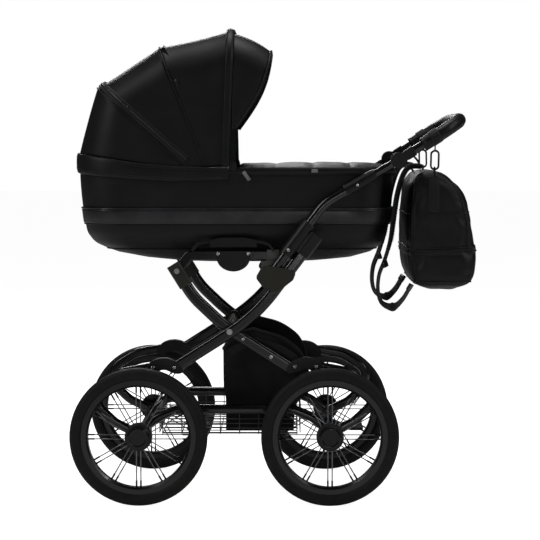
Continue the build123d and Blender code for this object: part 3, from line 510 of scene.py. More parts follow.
def plan_point(t, x0, x1, half, r):
    """A point round a rounded rectangle, t from 0 to 1, starting mid foot end, going over +Y."""
    flat_y, flat_x, arc = 2 * (half - r), (x1 - x0) - 2 * r, math.pi / 2 * r
    runs = [flat_y / 2, arc, flat_x, arc, flat_y, arc, flat_x, arc, flat_y / 2]
    s = (t % 1.0) * sum(runs)
    heading = 0
    corners = [(x1 - r, half - r, 0), (x0 + r, half - r, 90), (x0 + r, -half + r, 180), (x1 - r, -half + r, 270)]
    starts = [((x1, 0), (0, 1)), None, ((x1 - r, half), (-1, 0)), None, ((x0, half - r), (0, -1)), None,
              ((x0 + r, -half), (1, 0)), None, ((x1, -half + r), (0, 1))]
    for i, length in enumerate(runs):
        if s <= length or i == len(runs) - 1:
            if i % 2 == 0:
                (px, py), (dx, dy) = starts[i]
                return px + dx * s, py + dy * s
            cx, cy, a0 = corners[heading]
            a = math.radians(a0 + 90 * s / length)
            return cx + r * math.cos(a), cy + r * math.sin(a)
        s -= length
        heading += i % 2


def cot_ring(z, grow=0.0, count=96, height=None):
    x0, x1, half, r = shape_at(z)
    ring = []
    for i in range(count):
        x, y = plan_point(i / count, x0 - grow, x1 + grow, half + grow, r + grow)
        ring.append(P(x, y, z if height is None else height))
    return ring


def make_cot():
    bpy.context.view_layer.update()
    outer = [cot_ring(z) for z in (433, 434, 437, 441, 446, 452, 460, 470)]
    base = sheet_mesh("cot_base_cloth", outer, M["mesh_base"], closed_cols=True)
    bottom = piece("cot_base_board", cot_ring(433), [tuple(range(96))], M["mesh_base"])
    wall_rows = [cot_ring(z) for z in (469, 475, 483, 492, 502, 512, 522, 532, 545,
                                       560, 575, 590, 605, 622, 640, 656, 668, 674)]
    wall_rows += [cot_ring(674, -3, height=677), cot_ring(674, -9, height=677), cot_ring(672, -12, height=672)]
    wall_rows += [cot_ring(z, -12) for z in (640, 600, 560, 520, 490)]
    wall = sheet_mesh("cot_wall_cover", wall_rows, M["leather"], closed_cols=True)
    floor_ring = cot_ring(490, -12)
    floor = piece("cot_floor_board", floor_ring, [tuple(range(96))], M["lining"])
    subdivide(wall, 1)
    rumple(wall, 2.2, 75, keep=lambda co: min(1.0, max(0.0, (co.z - 0.65) * 30), max(0.0, (0.845 - co.z) * 60)))
    band_rows = [cot_ring(z, g) for z, g in ((536, 0.4), (536, 3.0), (538.5, 4.2), (548, 4.6), (562, 4.6),
                                            (572, 4.2), (575, 3.0), (575.5, 0.4))]
    band = sheet_mesh("cot_trim_cover", band_rows, M["trim"], closed_cols=True)
    subdivide(band, 1)
    pipes = []
    for name, z, grow, size, mat in (("cot_band_piping_upper", 576, 3.4, 4.0, "trim"),
                                     ("cot_band_piping_lower", 535, 2.6, 3.2, "leather"),
                                     ("cot_base_seam_piping", 470, 0.6, 3.4, "leather"),
                                     ("cot_rim_piping", 668, 2.6, 5.0, "leather")):
        pipes.append(strip(name, cot_ring(z, grow, 192), size, size, M[mat], closed=True))
    rows_of_thread = []
    for name, z, grow in (("cot_band_stitch_upper", 570, 4.5), ("cot_band_stitch_lower", 541, 4.4)):
        line = cot_ring(z, grow, 480) + cot_ring(z, grow, 480)[:1]
        middle = P(0, 0, z)
        rows_of_thread.append(stitches(name, line, [(p - middle) * Vector((0.3, 1, 0)) for p in line], 6.0))
    tag = strip("cot_zip_tag", [P(22, -205.5, 671), P(30, -207, 660), P(38, -206, 649)], 9, 1.4, M["label"], 6,
                up=Vector((0, -1, 0)))
    ride([base, bottom, wall, floor, band, tag] + pipes + rows_of_thread, "cot")
    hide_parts("cot_tub")
    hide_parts("cot_trim_band")
    make_mattress()
    make_apron()


def make_mattress():
    rows = [cot_ring(500, -16, 48, height=h) for h in (482, 505)]
    pad = sheet_mesh("mattress_pad", rows, M["mattress"], closed_cols=True, caps=True)
    inflate(pad, 8, 8)
    ride(pad, "cot")
    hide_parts("cot_mattress")


def foot_cover_point(u, v):
    """Foot cover: u from the hood side to the foot end, v across; crowned and lapped over the rim."""
    _, x1, half, r = shape_at(RIM_SHAPE_Z)
    cos_v = 1 - abs(v) ** 6
    x = 12 + (x1 + 2 - 12) * u
    inset = max(0.0, x - (x1 - r))
    edge = half - r + math.sqrt(max(0.0, r * r - min(inset, r) ** 2)) if inset > 0 else half
    y = v * (edge + 1)
    crown = 15 * cos_v * (1 - max(0.0, (u - 0.8) / 0.2) ** 3) * (0.75 + 0.25 * math.cos((u - 0.5) * math.pi))
    return x, y, 678 + crown


def make_apron():
    rows = []
    for i in range(61):
        u = i / 60
        row = [P(*foot_cover_point(u ** 0.9, -1 + 2 * j / 60)) for j in range(61)]
        rows.append(row)
    cover = sheet_mesh("foot_cover", rows, M["leather"])
    quilt_x = [P(x, 0, 0).x for x in (105, 200, 295)]
    for v in cover.data.vertices:
        for x in quilt_x:
            d = abs(v.co.x - x) * 1000
            if d < 26:
                v.co.z -= 0.0035 * (1 - d / 26) ** 2
    rumple(cover, 2.5, 60, seed=3)
    thicken(cover, 4.0)
    subdivide(cover, 1)
    skirt_rows = []
    for z, g in ((682, 0.0), (680, 2.5), (675, 4.0), (668, 4.4), (663, 4.0), (662, 2.6)):
        ring = [p for p in cot_ring(RIM_SHAPE_Z, g, 240, height=z) if p.x > P(10, 0, 0).x]
        cut = max(range(len(ring)), key=lambda k: (ring[k] - ring[k - 1]).length)
        skirt_rows.append(ring[cut:] + ring[:cut])
    skirt = sheet_mesh("foot_cover_skirt", skirt_rows, M["leather"])
    zip_ring = skirt_rows[3]
    centre = P(200, 0, 668)
    outs = [(p - centre) * Vector((0.5, 1, 0)) for p in zip_ring]
    zipper = strip("foot_cover_zip", [p + o.normalized() * 0.0006 for p, o in zip(zip_ring, outs)], 1.8, 5,
                   M["webbing"], 4)
    teeth = stitches("foot_cover_zip_teeth", [p + o.normalized() * 0.001 for p, o in zip(zip_ring, outs)], outs,
                     2.6, 1.4)
    label = strip("foot_cover_label", [P(196, -205.6, 673), P(212, -205.6, 673)], 2.0, 9, M["label"], 6)
    ride([cover, skirt, zipper, teeth, label], "cot")
    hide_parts("cot_apron")


# ------------------------------------------------------------------ hood
# Each line runs from its foot on the rim up one side, over the top and down the other: (foot, top, corner)
HOOD_LINES = {
    "rim": ((-128, 676), (-407, 716), 112), "rear": ((-122, 680), (-358, 886), 96),
    "mid": ((-74, 681), (-197, 990), 92), "front": ((-24, 686), (-11, 1034), 90),
    "visor_back": ((-8, 776), (-6, 1027), 88), "visor": ((2, 780), (92, 979), 80)}


def hood_line(name, count=81, grow=0.0):
    """Points over a hood line, evenly spaced, left foot to right foot."""
    foot, top, corner = HOOD_LINES[name]
    foot, top = Vector(foot), Vector(top)
    rise = (top - foot).length
    way = (top - foot) / rise
    rise += grow
    half = HOOD_HALF + grow
    leg, arc, flat = rise - corner, corner * math.pi / 2, 2 * (half - corner)
    total = 2 * (leg + arc) + flat
    points = []
    for i in range(count):
        s = total * i / (count - 1)
        mirror = s > total / 2
        s = total - s if mirror else s
        if s < leg:
            y, h = -half, s
        elif s < leg + arc:
            a = (s - leg) / corner
            y, h = -half + corner * (1 - math.cos(a)), leg + corner * math.sin(a)
        else:
            y, h = -half + corner + (s - leg - arc), rise
        y = -y if mirror else y
        at = foot + way * h
        if name == "visor":
            at = at + Vector((18, 0)) * math.sin(math.pi * h / rise)
        points.append(P(at.x, y, at.y))
    return points


def hood_sheet(name, start, end, rows=13, sag=5.0, material="leather", seed=0.0):
    """One fabric panel, taut between two lines and drawn in a little between them."""
    a, b = hood_line(start), hood_line(end)
    centre = P(-150, 0, 700)
    grid = []
    for i in range(rows):
        t = i / (rows - 1)
        row = []
        for j, (p, q) in enumerate(zip(a, b)):
            v = p.lerp(q, t)
            s = j / (len(a) - 1)
            top = math.sin(math.pi * s) ** 2
            pull = sag * 4 * t * (1 - t) * (0.35 + 0.65 * top)
            ripple = 1.6 * noise.noise(v * 11 + Vector((seed, 0, 0))) * 4 * t * (1 - t)
            out = (v - centre)
            out.x *= 0.4
            row.append(v - out.normalized() * (pull + ripple) / 1000)
        grid.append(row)
    sheet = sheet_mesh(name, grid, M[material])
    subdivide(sheet, 1)
    thicken(sheet, 2.2)
    return sheet


def declare_panel(start, end):
    a, b = hood_line(start), hood_line(end)


def outward(line, centre=(-120, 0, 720), weight=(0.5, 1, 1)):
    middle = P(*centre)
    return [((p - middle) * Vector(weight)).normalized() for p in line]


def make_hood():
    rear = hood_sheet("hood_rear_cover", "rim", "rear", sag=-2.0)
    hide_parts("hood_rear_panel")
    mid = hood_sheet("hood_middle_cover", "rear", "mid", sag=2.5, seed=5)
    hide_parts("hood_mid_panel")
    front = hood_sheet("hood_front_cover", "mid", "front", sag=5.0, seed=9)
    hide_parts("hood_front_panel")
    visor = hood_sheet("hood_visor_cover", "visor_back", "visor", sag=-7.0, rows=9, seed=13)
    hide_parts("hood_visor")
    for obj, s, e, rests in ((rear, "rim", "rear", "hood_rear_bow"), (mid, "rear", "mid", "hood_mid_bow"),
                             (front, "mid", "front", "hood_front_bow"),
                             (visor, "visor_back", "visor", "hood_front_bow")):
        declare_panel(s, e)
    trims = {"hood_rear": [], "hood_mid": [], "hood_front": [], "hood_visor": []}
    for name, body, size in (("rear", "hood_rear", 4), ("mid", "hood_mid", 4), ("front", "hood_front", 22),
                             ("visor", "hood_visor", 7)):
        line = hood_line(name, 161, 1.0)
        outs = outward(line)
        trims[body].append(strip(f"hood_{name}_piping", line, size, min(size, 9), M["leather"], up=outs))
        if name == "front":
            for shift, tag in ((-9, "a"), (9, "b")):
                moved = [p + Vector((shift / 1000, 0, 0)) for p in line]
                trims[body].append(stitches(f"hood_front_stitch_{tag}", moved, outs, 6.0))
        if name == "visor":
            moved = [p - Vector((0.012, 0, 0.003)) for p in line]
            trims[body].append(stitches("hood_visor_stitch", moved, outs, 6.0))
    zip_line = hood_line("rear", 321, 1.6)
    outs = outward(zip_line)
    shift = Vector((0.012, 0, 0.010))
    tape = [p + shift for p in zip_line[6:-6]]
    tape_out = outs[6:-6]
    trims["hood_rear"].append(strip("hood_zip_tape", tape, 20, 1.8, M["webbing"], 5, up=tape_out))
    raised = [p + n * 0.0012 for p, n in zip(tape, tape_out)]
    trims["hood_rear"].append(strip("hood_zip_coil", raised, 4, 2, M["trim"], 2, up=tape_out))
    trims["hood_rear"].append(stitches("hood_zip_teeth", [p + n * 0.0008 for p, n in zip(raised, tape_out)],
                                       tape_out, 3.0, 2.4))
    for body, objs in trims.items():
        ride(objs, body)
    tags = []
    for name, x, z, body in (("hood_zip_pull", -276, 838, "hood_rear"), ("hood_side_tab", -152, 905, "hood_mid")):
        for side, word in ((-1, "left"), (1, "right")):
            y = side * (HOOD_HALF + 3)
            pull = strip(f"{name}_{word}", [P(x, y, z), P(x + 4, y + side, z - 8), P(x + 7, y, z - 17)], 6, 2.2,
                         M["plastic"], 3, up=Vector((0, side, 0)))
            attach(pull, body)
            tags.append(pull)
    make_collar()
    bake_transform(rear)
    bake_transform(mid)
    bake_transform(front)
    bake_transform(visor)


# (distance along the pram, lower edge, upper edge) of the band round the hood end of the rim
COLLAR_EDGES = [(-420, 667, 721), (-344, 658, 709), (-262, 650, 696), (-160, 645, 686), (-13, 648, 681)]


def collar_edges(x):
    rows = COLLAR_EDGES
    x = min(max(x, rows[0][0]), rows[-1][0])
    for a, b in zip(rows, rows[1:]):
        if x <= b[0]:
            t = (x - a[0]) / (b[0] - a[0])
            return a[1] + (b[1] - a[1]) * t, a[2] + (b[2] - a[2]) * t


def make_collar():
    x0, x1, half, r = shape_at(RIM_SHAPE_Z)
    around = []
    for i in range(400):
        x, y = plan_point(i / 400, x0, x1, half, r)
        if x < -13:
            around.append((x, y))
    rows = []
    section = [(0.6, 0.02), (3.5, 0.0), (7.0, 0.06), (8.4, 0.25), (8.6, 0.5), (8.0, 0.8), (6.2, 0.96), (2.6, 1.0),
               (0.6, 0.9)]
    for x, y in around:
        low, high = collar_edges(x)
        out = Vector((x - max(min(x, x1 - r), x0 + r), y - max(min(y, half - r), r - half)))
        out = out.normalized() if out.length > 1e-6 else Vector((0, math.copysign(1, y)))
        rows.append([P(x + out.x * g, y + out.y * g, low + (high - low) * k) for g, k in section])
    collar = sheet_mesh("hood_collar_cover", rows, M["leather"], closed_cols=True, caps=True)
    subdivide(collar, 1)
    rumple(collar, 1.2, 50, seed=21)
    edges = []
    for name, k in (("hood_collar_stitch_upper", 5), ("hood_collar_stitch_lower", 3)):
        line = [row[k] for row in rows]
        outs = outward(line, (-150, 0, 690), (0.4, 1, 0))
        edges.append(stitches(name, [p + o * 0.0004 for p, o in zip(line, outs)], outs, 6.0))
    ride([collar] + edges, "cot")
    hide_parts("hood_collar")


# ------------------------------------------------------------------ handle
HANDLE_PIVOT, HANDLE_TILT, HANDLE_REACH, GRIP_FROM, BEND = (417.0, 700.0), 33.0, 189.0, 72.0, 70.0


def handle_point(x, y):
    c, s = math.cos(math.radians(HANDLE_TILT)), math.sin(math.radians(HANDLE_TILT))
    return P(HANDLE_PIVOT[0] + x * c, y, HANDLE_PIVOT[1] + x * s)


def handle_line(start, steps=14):
    pts = []
    for side in (-1, 1):
        half = [handle_point(start + (HANDLE_REACH - BEND - start) * i / 10, side * LEG_PLANE) for i in range(11)]
        for i in range(1, steps + 1):
            a = math.pi / 2 * i / steps
            half.append(handle_point(HANDLE_REACH - BEND + BEND * math.sin(a),
                                     side * (LEG_PLANE - BEND + BEND * math.cos(a))))
        pts += half if side < 0 else [handle_point(HANDLE_REACH, y) for y in
                                      [-150 + 300 * k / 30 for k in range(1, 30)]] + half[::-1]
    return pts


def make_handle():
    line = handle_line(GRIP_FROM)
    c, s = math.cos(math.radians(HANDLE_TILT)), math.sin(math.radians(HANDLE_TILT))
    up = Vector((-s, 0, c))
    grip = strip("handle_grip_leather", line, 35, 35, M["grip"], sides=28, up=up,
                 swell=lambda t: 0.86 + 0.14 * min(1, min(t, 1 - t) * 60))
    subdivide(grip, 1)
    rumple(grip, 0.8, 25, seed=31)
    under = [p - up * 0.0178 for p in line]
    seam = strip("handle_grip_seam", under, 3, 1.6, M["grip"], up=up)
    laces = []
    for k, shift in enumerate((-4, 4)):
        inner = []
        for i, p in enumerate(under):
            ahead = line[min(i + 1, len(line) - 1)] - line[max(i - 1, 0)]
            inner.append(p + ahead.normalized().cross(up) * shift / 1000 + up * 0.0005)
        laces.append(stitches(f"handle_grip_stitch_{k}", inner, [-up] * len(inner), 5.0, 1.4))
    collars = []
    for start, word in ((0, "left"), (len(line) - 1, "right")):
        step = 2 if start == 0 else -2
        ends = [line[start], line[start + step]]
        collars.append(strip(f"handle_grip_end_{word}", [ends[0].lerp(ends[1], t / 4) for t in range(5)], 37, 37,
                             M["plastic"], 2, 28, up=up, swell=lambda t: 0.93 + 0.07 * math.sin(math.pi * t)))
    ride([grip, seam] + laces + collars, "handle")
    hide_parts("handle_grip")
    loops = []
    clip_x = HANDLE_PIVOT[0] + 110 * c
    clip_z = HANDLE_PIVOT[1] + 110 * s
    for side, word in ((-1, "left"), (1, "right")):
        centre = P(clip_x, side * LEG_PLANE, clip_z)
        ring = []
        for i in range(40):
            a = TAU * i / 40
            ring.append(centre + Vector((0, 1, 0)) * math.cos(a) * 0.0188 + up * math.sin(a) * 0.0188)
        band = strip(f"bag_loop_band_{word}", ring, 24, 2.2, M["webbing"], 5, closed=True,
                     up=[(p - centre).normalized() for p in ring])
        tab = strip(f"bag_loop_tab_{word}", [P(clip_x, side * 220, clip_z - 17 - 4.6 * k) for k in range(5)],
                    14, 3, M["webbing"], 5, up=Vector((1, 0, 0)))
        loops += [band, tab]
    ride(loops, "handle")
    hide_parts("bag_hanger_loops")


# ------------------------------------------------------------------ bag
BAG_SIDE = [(464, 668), (480, 676), (520, 676), (556, 652), (584, 612), (601, 560), (610, 500), (618, 450),
            (613, 396), (596, 373), (530, 370), (470, 371), (454, 388), (447, 440), (447, 560), (454, 640)]
BAG_HALF = 184.0


def bag_ring(y, shrink):
    cx, cz = 530, 520
    line = smooth_line([(x, 0, z) for x, z in BAG_SIDE], 4, closed=True)
    return [P(cx + (p.x - cx) * shrink, y, cz + (p.z - cz) * shrink) for p in line]


def bag_loop(z0, z1):
    """Where a level plane meets the bag: left as a path round it, cast on to the surface later."""
    path = []
    for i in range(160):
        x, yy = plan_point(i / 160, 440, 640, BAG_HALF + 12, 40)
        path.append(P(x, yy, z0 + (z1 - z0) * (x - 440) / 200))
    return path


def inward(z):
    middle = P(530, 0, z)

    def ray(p):
        way = (middle - p) * Vector((1, 1, 0))
        way.y = math.copysign(max(0.0, abs(p.y) - 0.15), -p.y) if abs(p.y) > 0.15 else 0.0
        return way.normalized()
    return ray


def make_bag():
    rows = [bag_ring(-BAG_HALF, 0.5)]
    for y, k in ((-BAG_HALF, 0.9), (-BAG_HALF + 5, 0.965), (-BAG_HALF + 14, 0.985), (-120, 0.99), (-60, 0.99),
                 (0, 0.99), (60, 0.99), (120, 0.99),
                 (BAG_HALF - 14, 0.985), (BAG_HALF - 5, 0.965), (BAG_HALF, 0.9)):
        rows.append(bag_ring(y, k))
    rows.append(bag_ring(BAG_HALF, 0.5))
    body = sheet_mesh("bag_shell", rows, M["leather"], closed_cols=True, caps=True)
    inflate(body, 8, 5, 2.5)
    for v in body.data.vertices:
        low = max(0.0, (0.75 - v.co.z) / 0.21)
        v.co.x += 0.004 * math.sin(low * math.pi) if v.co.x > 0.43 else 0.0
        level = (v.co.z - P(0, 0, 464).z) * 1000
        if abs(level) < 14:
            v.co.y *= 1 - 0.012 * (1 - abs(level) / 14)
    rumple(body, 5.0, 90, seed=41)
    rumple(body, 2.0, 30, seed=43)
    subdivide(body, 1)
    extras = []
    for name, z0, z1, width, mat in (("bag_zip_band", 463, 466, 17, "webbing"),
                                     ("bag_pocket_piping", 562, 566, 3, "leather"),
                                     ("bag_zip_lip", 474, 477, 5, "leather"),
                                     ("bag_base_piping", 388, 388, 4, "leather")):
        path, normals = cling(body, bag_loop(z0, z1), inward((z0 + z1) / 2), 0.4)
        if mat == "webbing":
            extras.append(strip(name, path, 2.0, width, M[mat], 4, closed=True))
            raised = [p + n * 0.0014 for p, n in zip(path, normals)]
            extras.append(stitches("bag_zip_teeth", raised, normals, 3.0, 3.0))
        else:
            extras.append(strip(name, path, width, width, M[mat], closed=True))
    for side, word in ((-1, "left"), (1, "right")):
        curve = smooth_line([P(x, side * 200, z) for x, z in ((560, 640), (584, 590), (598, 530), (598, 480))], 10)
        path, normals = cling(body, curve, Vector((0, -side, 0)), 0.5)
        extras.append(strip(f"bag_side_zip_{word}", path, 9, 2.0, M["webbing"], 4, up=normals))
        raised = [p + n * 0.001 for p, n in zip(path, normals)]
        extras.append(stitches(f"bag_side_zip_teeth_{word}", raised, normals,
                               3.0, 2.2))
        curve = smooth_line([P(x, side * 200, z) for x, z in ((462, 640), (456, 560), (457, 480), (466, 400))], 10)
        path, normals = cling(body, curve, Vector((0, -side, 0)), 0.5)
        extras.append(strip(f"bag_edge_piping_{word}", path, 6, 5, M["leather"], up=normals))
        hang = [path[0] + Vector((0.118, side * 0.006, -0.03 - 0.006 * k)) for k in range(4)]
        pull = strip(f"bag_zip_pull_{word}", hang,
                     5, 2.4, M["plastic"], 3, up=Vector((0, side, 0)))
        extras.append(pull)
    handle_curve = smooth_line([P(470, 0, 668), P(452, 0, 690), P(448, 0, 706), P(462, 0, 712), P(478, 0, 700),
                                P(490, 0, 676)], 8)
    extras.append(strip("bag_grab_handle", handle_curve, 24, 5, M["webbing"], 4, up=Vector((0, 0, 1))))
    ride([body] + extras, "bag")
    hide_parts("bag_body")
    make_bag_straps()


def make_bag_straps():
    made = []
    for side, word in ((-1, "left"), (1, "right")):
        y = side * 168
        pad = smooth_line([P(x, y, z) for x, z in ((480, 683), (462, 685), (444, 680), (430, 658), (416, 608),
                                                   (407, 545), (401, 500), (393, 468))], 8)
        outs = []
        for i, p in enumerate(pad):
            run = (pad[min(i + 1, len(pad) - 1)] - pad[max(i - 1, 0)]).normalized()
            outs.append((run.cross(Vector((0, 1, 0))).normalized() + Vector((0, side * 0.35, 0))).normalized())
        shoulder = strip(f"bag_shoulder_pad_{word}", pad, 36, 8, M["leather"], 3.5, 16, up=outs,
                         swell=lambda t: 0.8 + 0.2 * math.sin(math.pi * min(1, t * 1.1)) ** 0.5)
        subdivide(shoulder, 1)
        made.append(shoulder)
        for k in (-1, 1):
            edge = [p + n.cross(Vector((0, 0, 1))).normalized() * k * 0.0125 + n * 0.0038
                    for p, n in zip(pad[6:-6], outs[6:-6])]
            made.append(stitches(f"bag_pad_stitch_{word}_{(k + 1) // 2}", edge, outs[6:-6], 5.0))
        web = smooth_line([P(x, y, z) for x, z in ((396, 478), (384, 440), (371, 405), (368, 366), (376, 336),
                                                   (396, 323), (414, 325), (434, 345), (453, 378))], 8)
        lean = Vector((1, side * 0.45, 0.2))
        made.append(strip(f"bag_strap_web_{word}", web, 24, 2.2, M["webbing"], 5, up=lean))
        slide = [P(384 + k * 1.6, y, 440 - k * 5) for k in range(4)]
        made.append(strip(f"bag_strap_slide_{word}", slide, 31, 6, M["plastic"], 5, up=lean))
        foot = [P(446 + 3 * k, y, 366 + 5 * k) for k in range(4)]
        made.append(strip(f"bag_strap_foot_{word}", foot, 30, 6, M["plastic"], 5,
                          up=Vector((1, side * 0.45, -0.3))))
        drop = smooth_line([P(509.3, side * 205.5, 659), P(509.3, side * 198, 640), P(509.3, side * 195.6, 612),
                            P(509.3, side * 195.6, 568)], 6)
        made.append(strip(f"bag_side_web_{word}", drop, 25, 2.4, M["webbing"], 5, up=Vector((0, side, 0.2))))
    ride(made, "bag")
    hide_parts("bag_straps")


# ------------------------------------------------------------------ cloth basket
BASKET_RIM = [(-31, 214), (-8, 238), (40, 264), (67, 259), (115, 245), (160, 214), (180, 180), (188, 150)]


def make_basket():
    """Cloth bag slung between the cross legs: sides that sag in, and a floor in the wire tray."""
    rows = []
    rim = smooth_line([(x, 0, z) for x, z in BASKET_RIM], 5)
    side = [(p.x, p.z) for p in rim]
    loop = [(x, -184, z) for x, z in side]
    loop += [(188, -184 + 368 * k / 24, 150 - 8 * math.sin(math.pi * k / 24)) for k in range(1, 24)]
    loop += [(x, 184, z) for x, z in side[::-1]]
    loop += [(-31, 184 - 368 * k / 24, 214 - 10 * math.sin(math.pi * k / 24)) for k in range(1, 24)]
    for level in range(25):
        t = level / 24
        row = []
        for x, y, z in loop:
            fx = min(max(x, -26), 158) if t > 0.5 else x
            zz = z + (-2 - z) * t
            narrow = 1 - 0.19 * min(1, max(0, (t - 0.35) / 0.3)) if abs(y) > 100 else 1 - 0.12 * t
            xx = x + (fx * (1 - 0.04 * t) - x) * min(1, t * 1.6)
            xx = min(xx, 188 - 32 * min(1, t * 1.5))
            point = P(xx, y * narrow, zz)
            slant = Vector(((point.x + point.z * 0.45) * 26, point.y * 9, point.z * 6))
            fold = (4 + 9 * noise.noise(slant)) * math.sin(math.pi * min(1, t * 1.15 + 0.06))
            row.append(point + Vector((0, -math.copysign(1, y), 0)) * (3 + fold) / 1000)
        rows.append(row)
    basket = sheet_mesh("cloth_basket_wall", rows, M["cloth"], closed_cols=True)
    floor = piece("cloth_basket_floor", rows[-1], [tuple(range(len(loop)))], M["cloth"])
    subdivide(basket, 1)
    thicken(basket, 1.6)
    edge = [r + Vector((0, 0, 0.001)) for r in rows[0]]
    hem = strip("cloth_basket_hem", edge, 5, 8, M["webbing"], 3, closed=True)
    cover_line = [P(x, -189.5, z) for x, z in side[4:-4]]
    flaps = []
    for s, word in ((-1, "left"), (1, "right")):
        line = [Vector((p.x, s * abs(p.y), p.z - 0.030)) for p in cover_line]
        flaps.append(strip(f"cloth_basket_hem_band_{word}", line, 2, 20, M["webbing"], 4))
    pieces = [basket, floor, hem] + flaps
    for obj in pieces:
        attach(obj, "front_rails")
        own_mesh(obj)
    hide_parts("fabric_basket")


# ------------------------------------------------------------------ fasteners and wheel details
def make_fasteners():
    made = {"push_legs": [], "cross_legs": [], "seat_frame": []}
    for side, word in ((-1, "left"), (1, "right")):
        outer = side * (LEG_PLANE + 11.5)
        inner = side * (CROSS_PLANE + 11.5)
        for k, (x, z) in enumerate(((-154, 172), (-209, 172))):
            made["push_legs"].append(pan_screw(f"front_saddle_screw_{word}_{k}", x, z, outer, side))
            made["cross_legs"].append(pan_screw(f"rear_saddle_screw_{word}_{k}", -x, z, inner, side))
        for k, (x, z) in enumerate(((21, 243), (93, 196))):
            face = side * (CROSS_PLANE + 9)
            made["cross_legs"].append(pan_screw(f"basket_snap_{word}_{k}", x, z, face, side, 10))
        for k, x in enumerate((-43, 34)):
            made["seat_frame"].append(pan_screw(f"adapter_screw_{word}_{k}", x, 461, side * 195.3, side, 10))
        made["push_legs"].append(pan_screw(f"collar_screw_{word}", 312, 637, side * (LEG_PLANE + 15), side, 7))
        sleeve = pan_screw(f"sleeve_screw_{word}", 137, 473, side * (LEG_PLANE + 17.4), side, 9)
        ride(sleeve, f"lock_sleeve_{word}")
    for body, objs in made.items():
        ride(objs, body)


def make_wheel_details():
    for end, e in (("front", -1), ("rear", 1)):
        for side, word in ((-1, "left"), (1, "right")):
            body = f"wheel_{end}_{word}"
            cx, y = e * WHEEL_REACH, side * WHEEL_PLANE
            a = math.radians(62 if end == "front" else 55)
            valve = strip(f"{body}_valve", [P(cx + math.cos(a) * r, y + side * 6, math.sin(a) * r)
                                            for r in (127.6, 120, 112, 106, 104)], 6, 6, M["bright"], sides=12,
                          up=Vector((0, 1, 0)), swell=lambda t: 1.0 if t < 0.8 else 0.7)
            blocks, faces = [], []
            for k in range(LUG_COUNT):
                turn, flank = TAU * k / LUG_COUNT, -1 if k % 2 else 1
                for edge in (-0.011, 0.011):
                    for step in range(5):
                        phi = math.radians(22 + 11 * step)
                        for lift in (0.0, LUG_HEIGHT):
                            r = TYRE_CORE_R + (TYRE_HALF_H + lift) * math.cos(phi)
                            yy = y + flank * (TYRE_HALF_W + lift) * math.sin(phi)
                            blocks.append(P(cx + r * math.cos(turn + edge), yy, r * math.sin(turn + edge)))
                base = len(blocks) - 20
                for step in range(4):
                    a, b = base + 2 * step, base + 10 + 2 * step
                    faces += [(a + 1, a + 3, b + 3, b + 1), (a, a + 2, a + 3, a + 1), (b, b + 1, b + 3, b + 2)]
                faces += [(base, base + 1, base + 11, base + 10), (base + 8, base + 18, base + 19, base + 9)]
            tread = piece(f"{body}_tread_blocks", blocks, faces, M["rubber"], smooth=False)
            dome = []
            for radius, lift in ((27.5, 28.6), (24.5, 29.6), (20, 29.8), (18.5, 28.8), (10, 28.9), (1, 29.0)):
                dome.append([P(cx + math.cos(TAU * i / 48) * radius, y + side * lift,
                               math.sin(TAU * i / 48) * radius) for i in range(48)])
            cap = sheet_mesh(f"{body}_cap_face", dome, M["gloss"], closed_cols=True)
            nipples = []
            for k in range(SPOKE_COUNT):
                angle = TAU * (k // 2) / (SPOKE_COUNT // 2)
                off = SPOKE_PAIR_OFFSET if k % 2 else -SPOKE_PAIR_OFFSET
                axis = Vector((math.sin(angle), 0, math.cos(angle)))
                cross = Vector((math.cos(angle), 0, -math.sin(angle)))
                pts = [P(cx, y, 0) + (axis * r + cross * off) / 1000 for r in (112, 118, 124, 127.2)]
                nipples.append(strip(f"{body}_nipple_{k:02d}", pts, 4.6, 4.6, M["steel"], sides=8,
                                     up=Vector((0, 1, 0))))
            bpy.ops.object.select_all(action="DESELECT")
            for obj in nipples:
                obj.select_set(True)
            bpy.context.view_layer.objects.active = nipples[0]
            bpy.ops.object.join()
            nipples[0].name = f"{body}_nipples"
            ride([valve, cap, tread, nipples[0]], body)


# ------------------------------------------------------------------ studio
def area_light(name, place, aim, size, power, size_y=None):
    data = bpy.data.lights.new(name, "AREA")
    data.shape = "RECTANGLE"
    data.size, data.size_y, data.energy = size, size_y or size, power
    obj = bpy.data.objects.new(name, data)
    obj.location = place
    obj.rotation_euler = (Vector(aim) - Vector(place)).to_track_quat("-Z", "Y").to_euler()
    bpy.context.scene.collection.objects.link(obj)


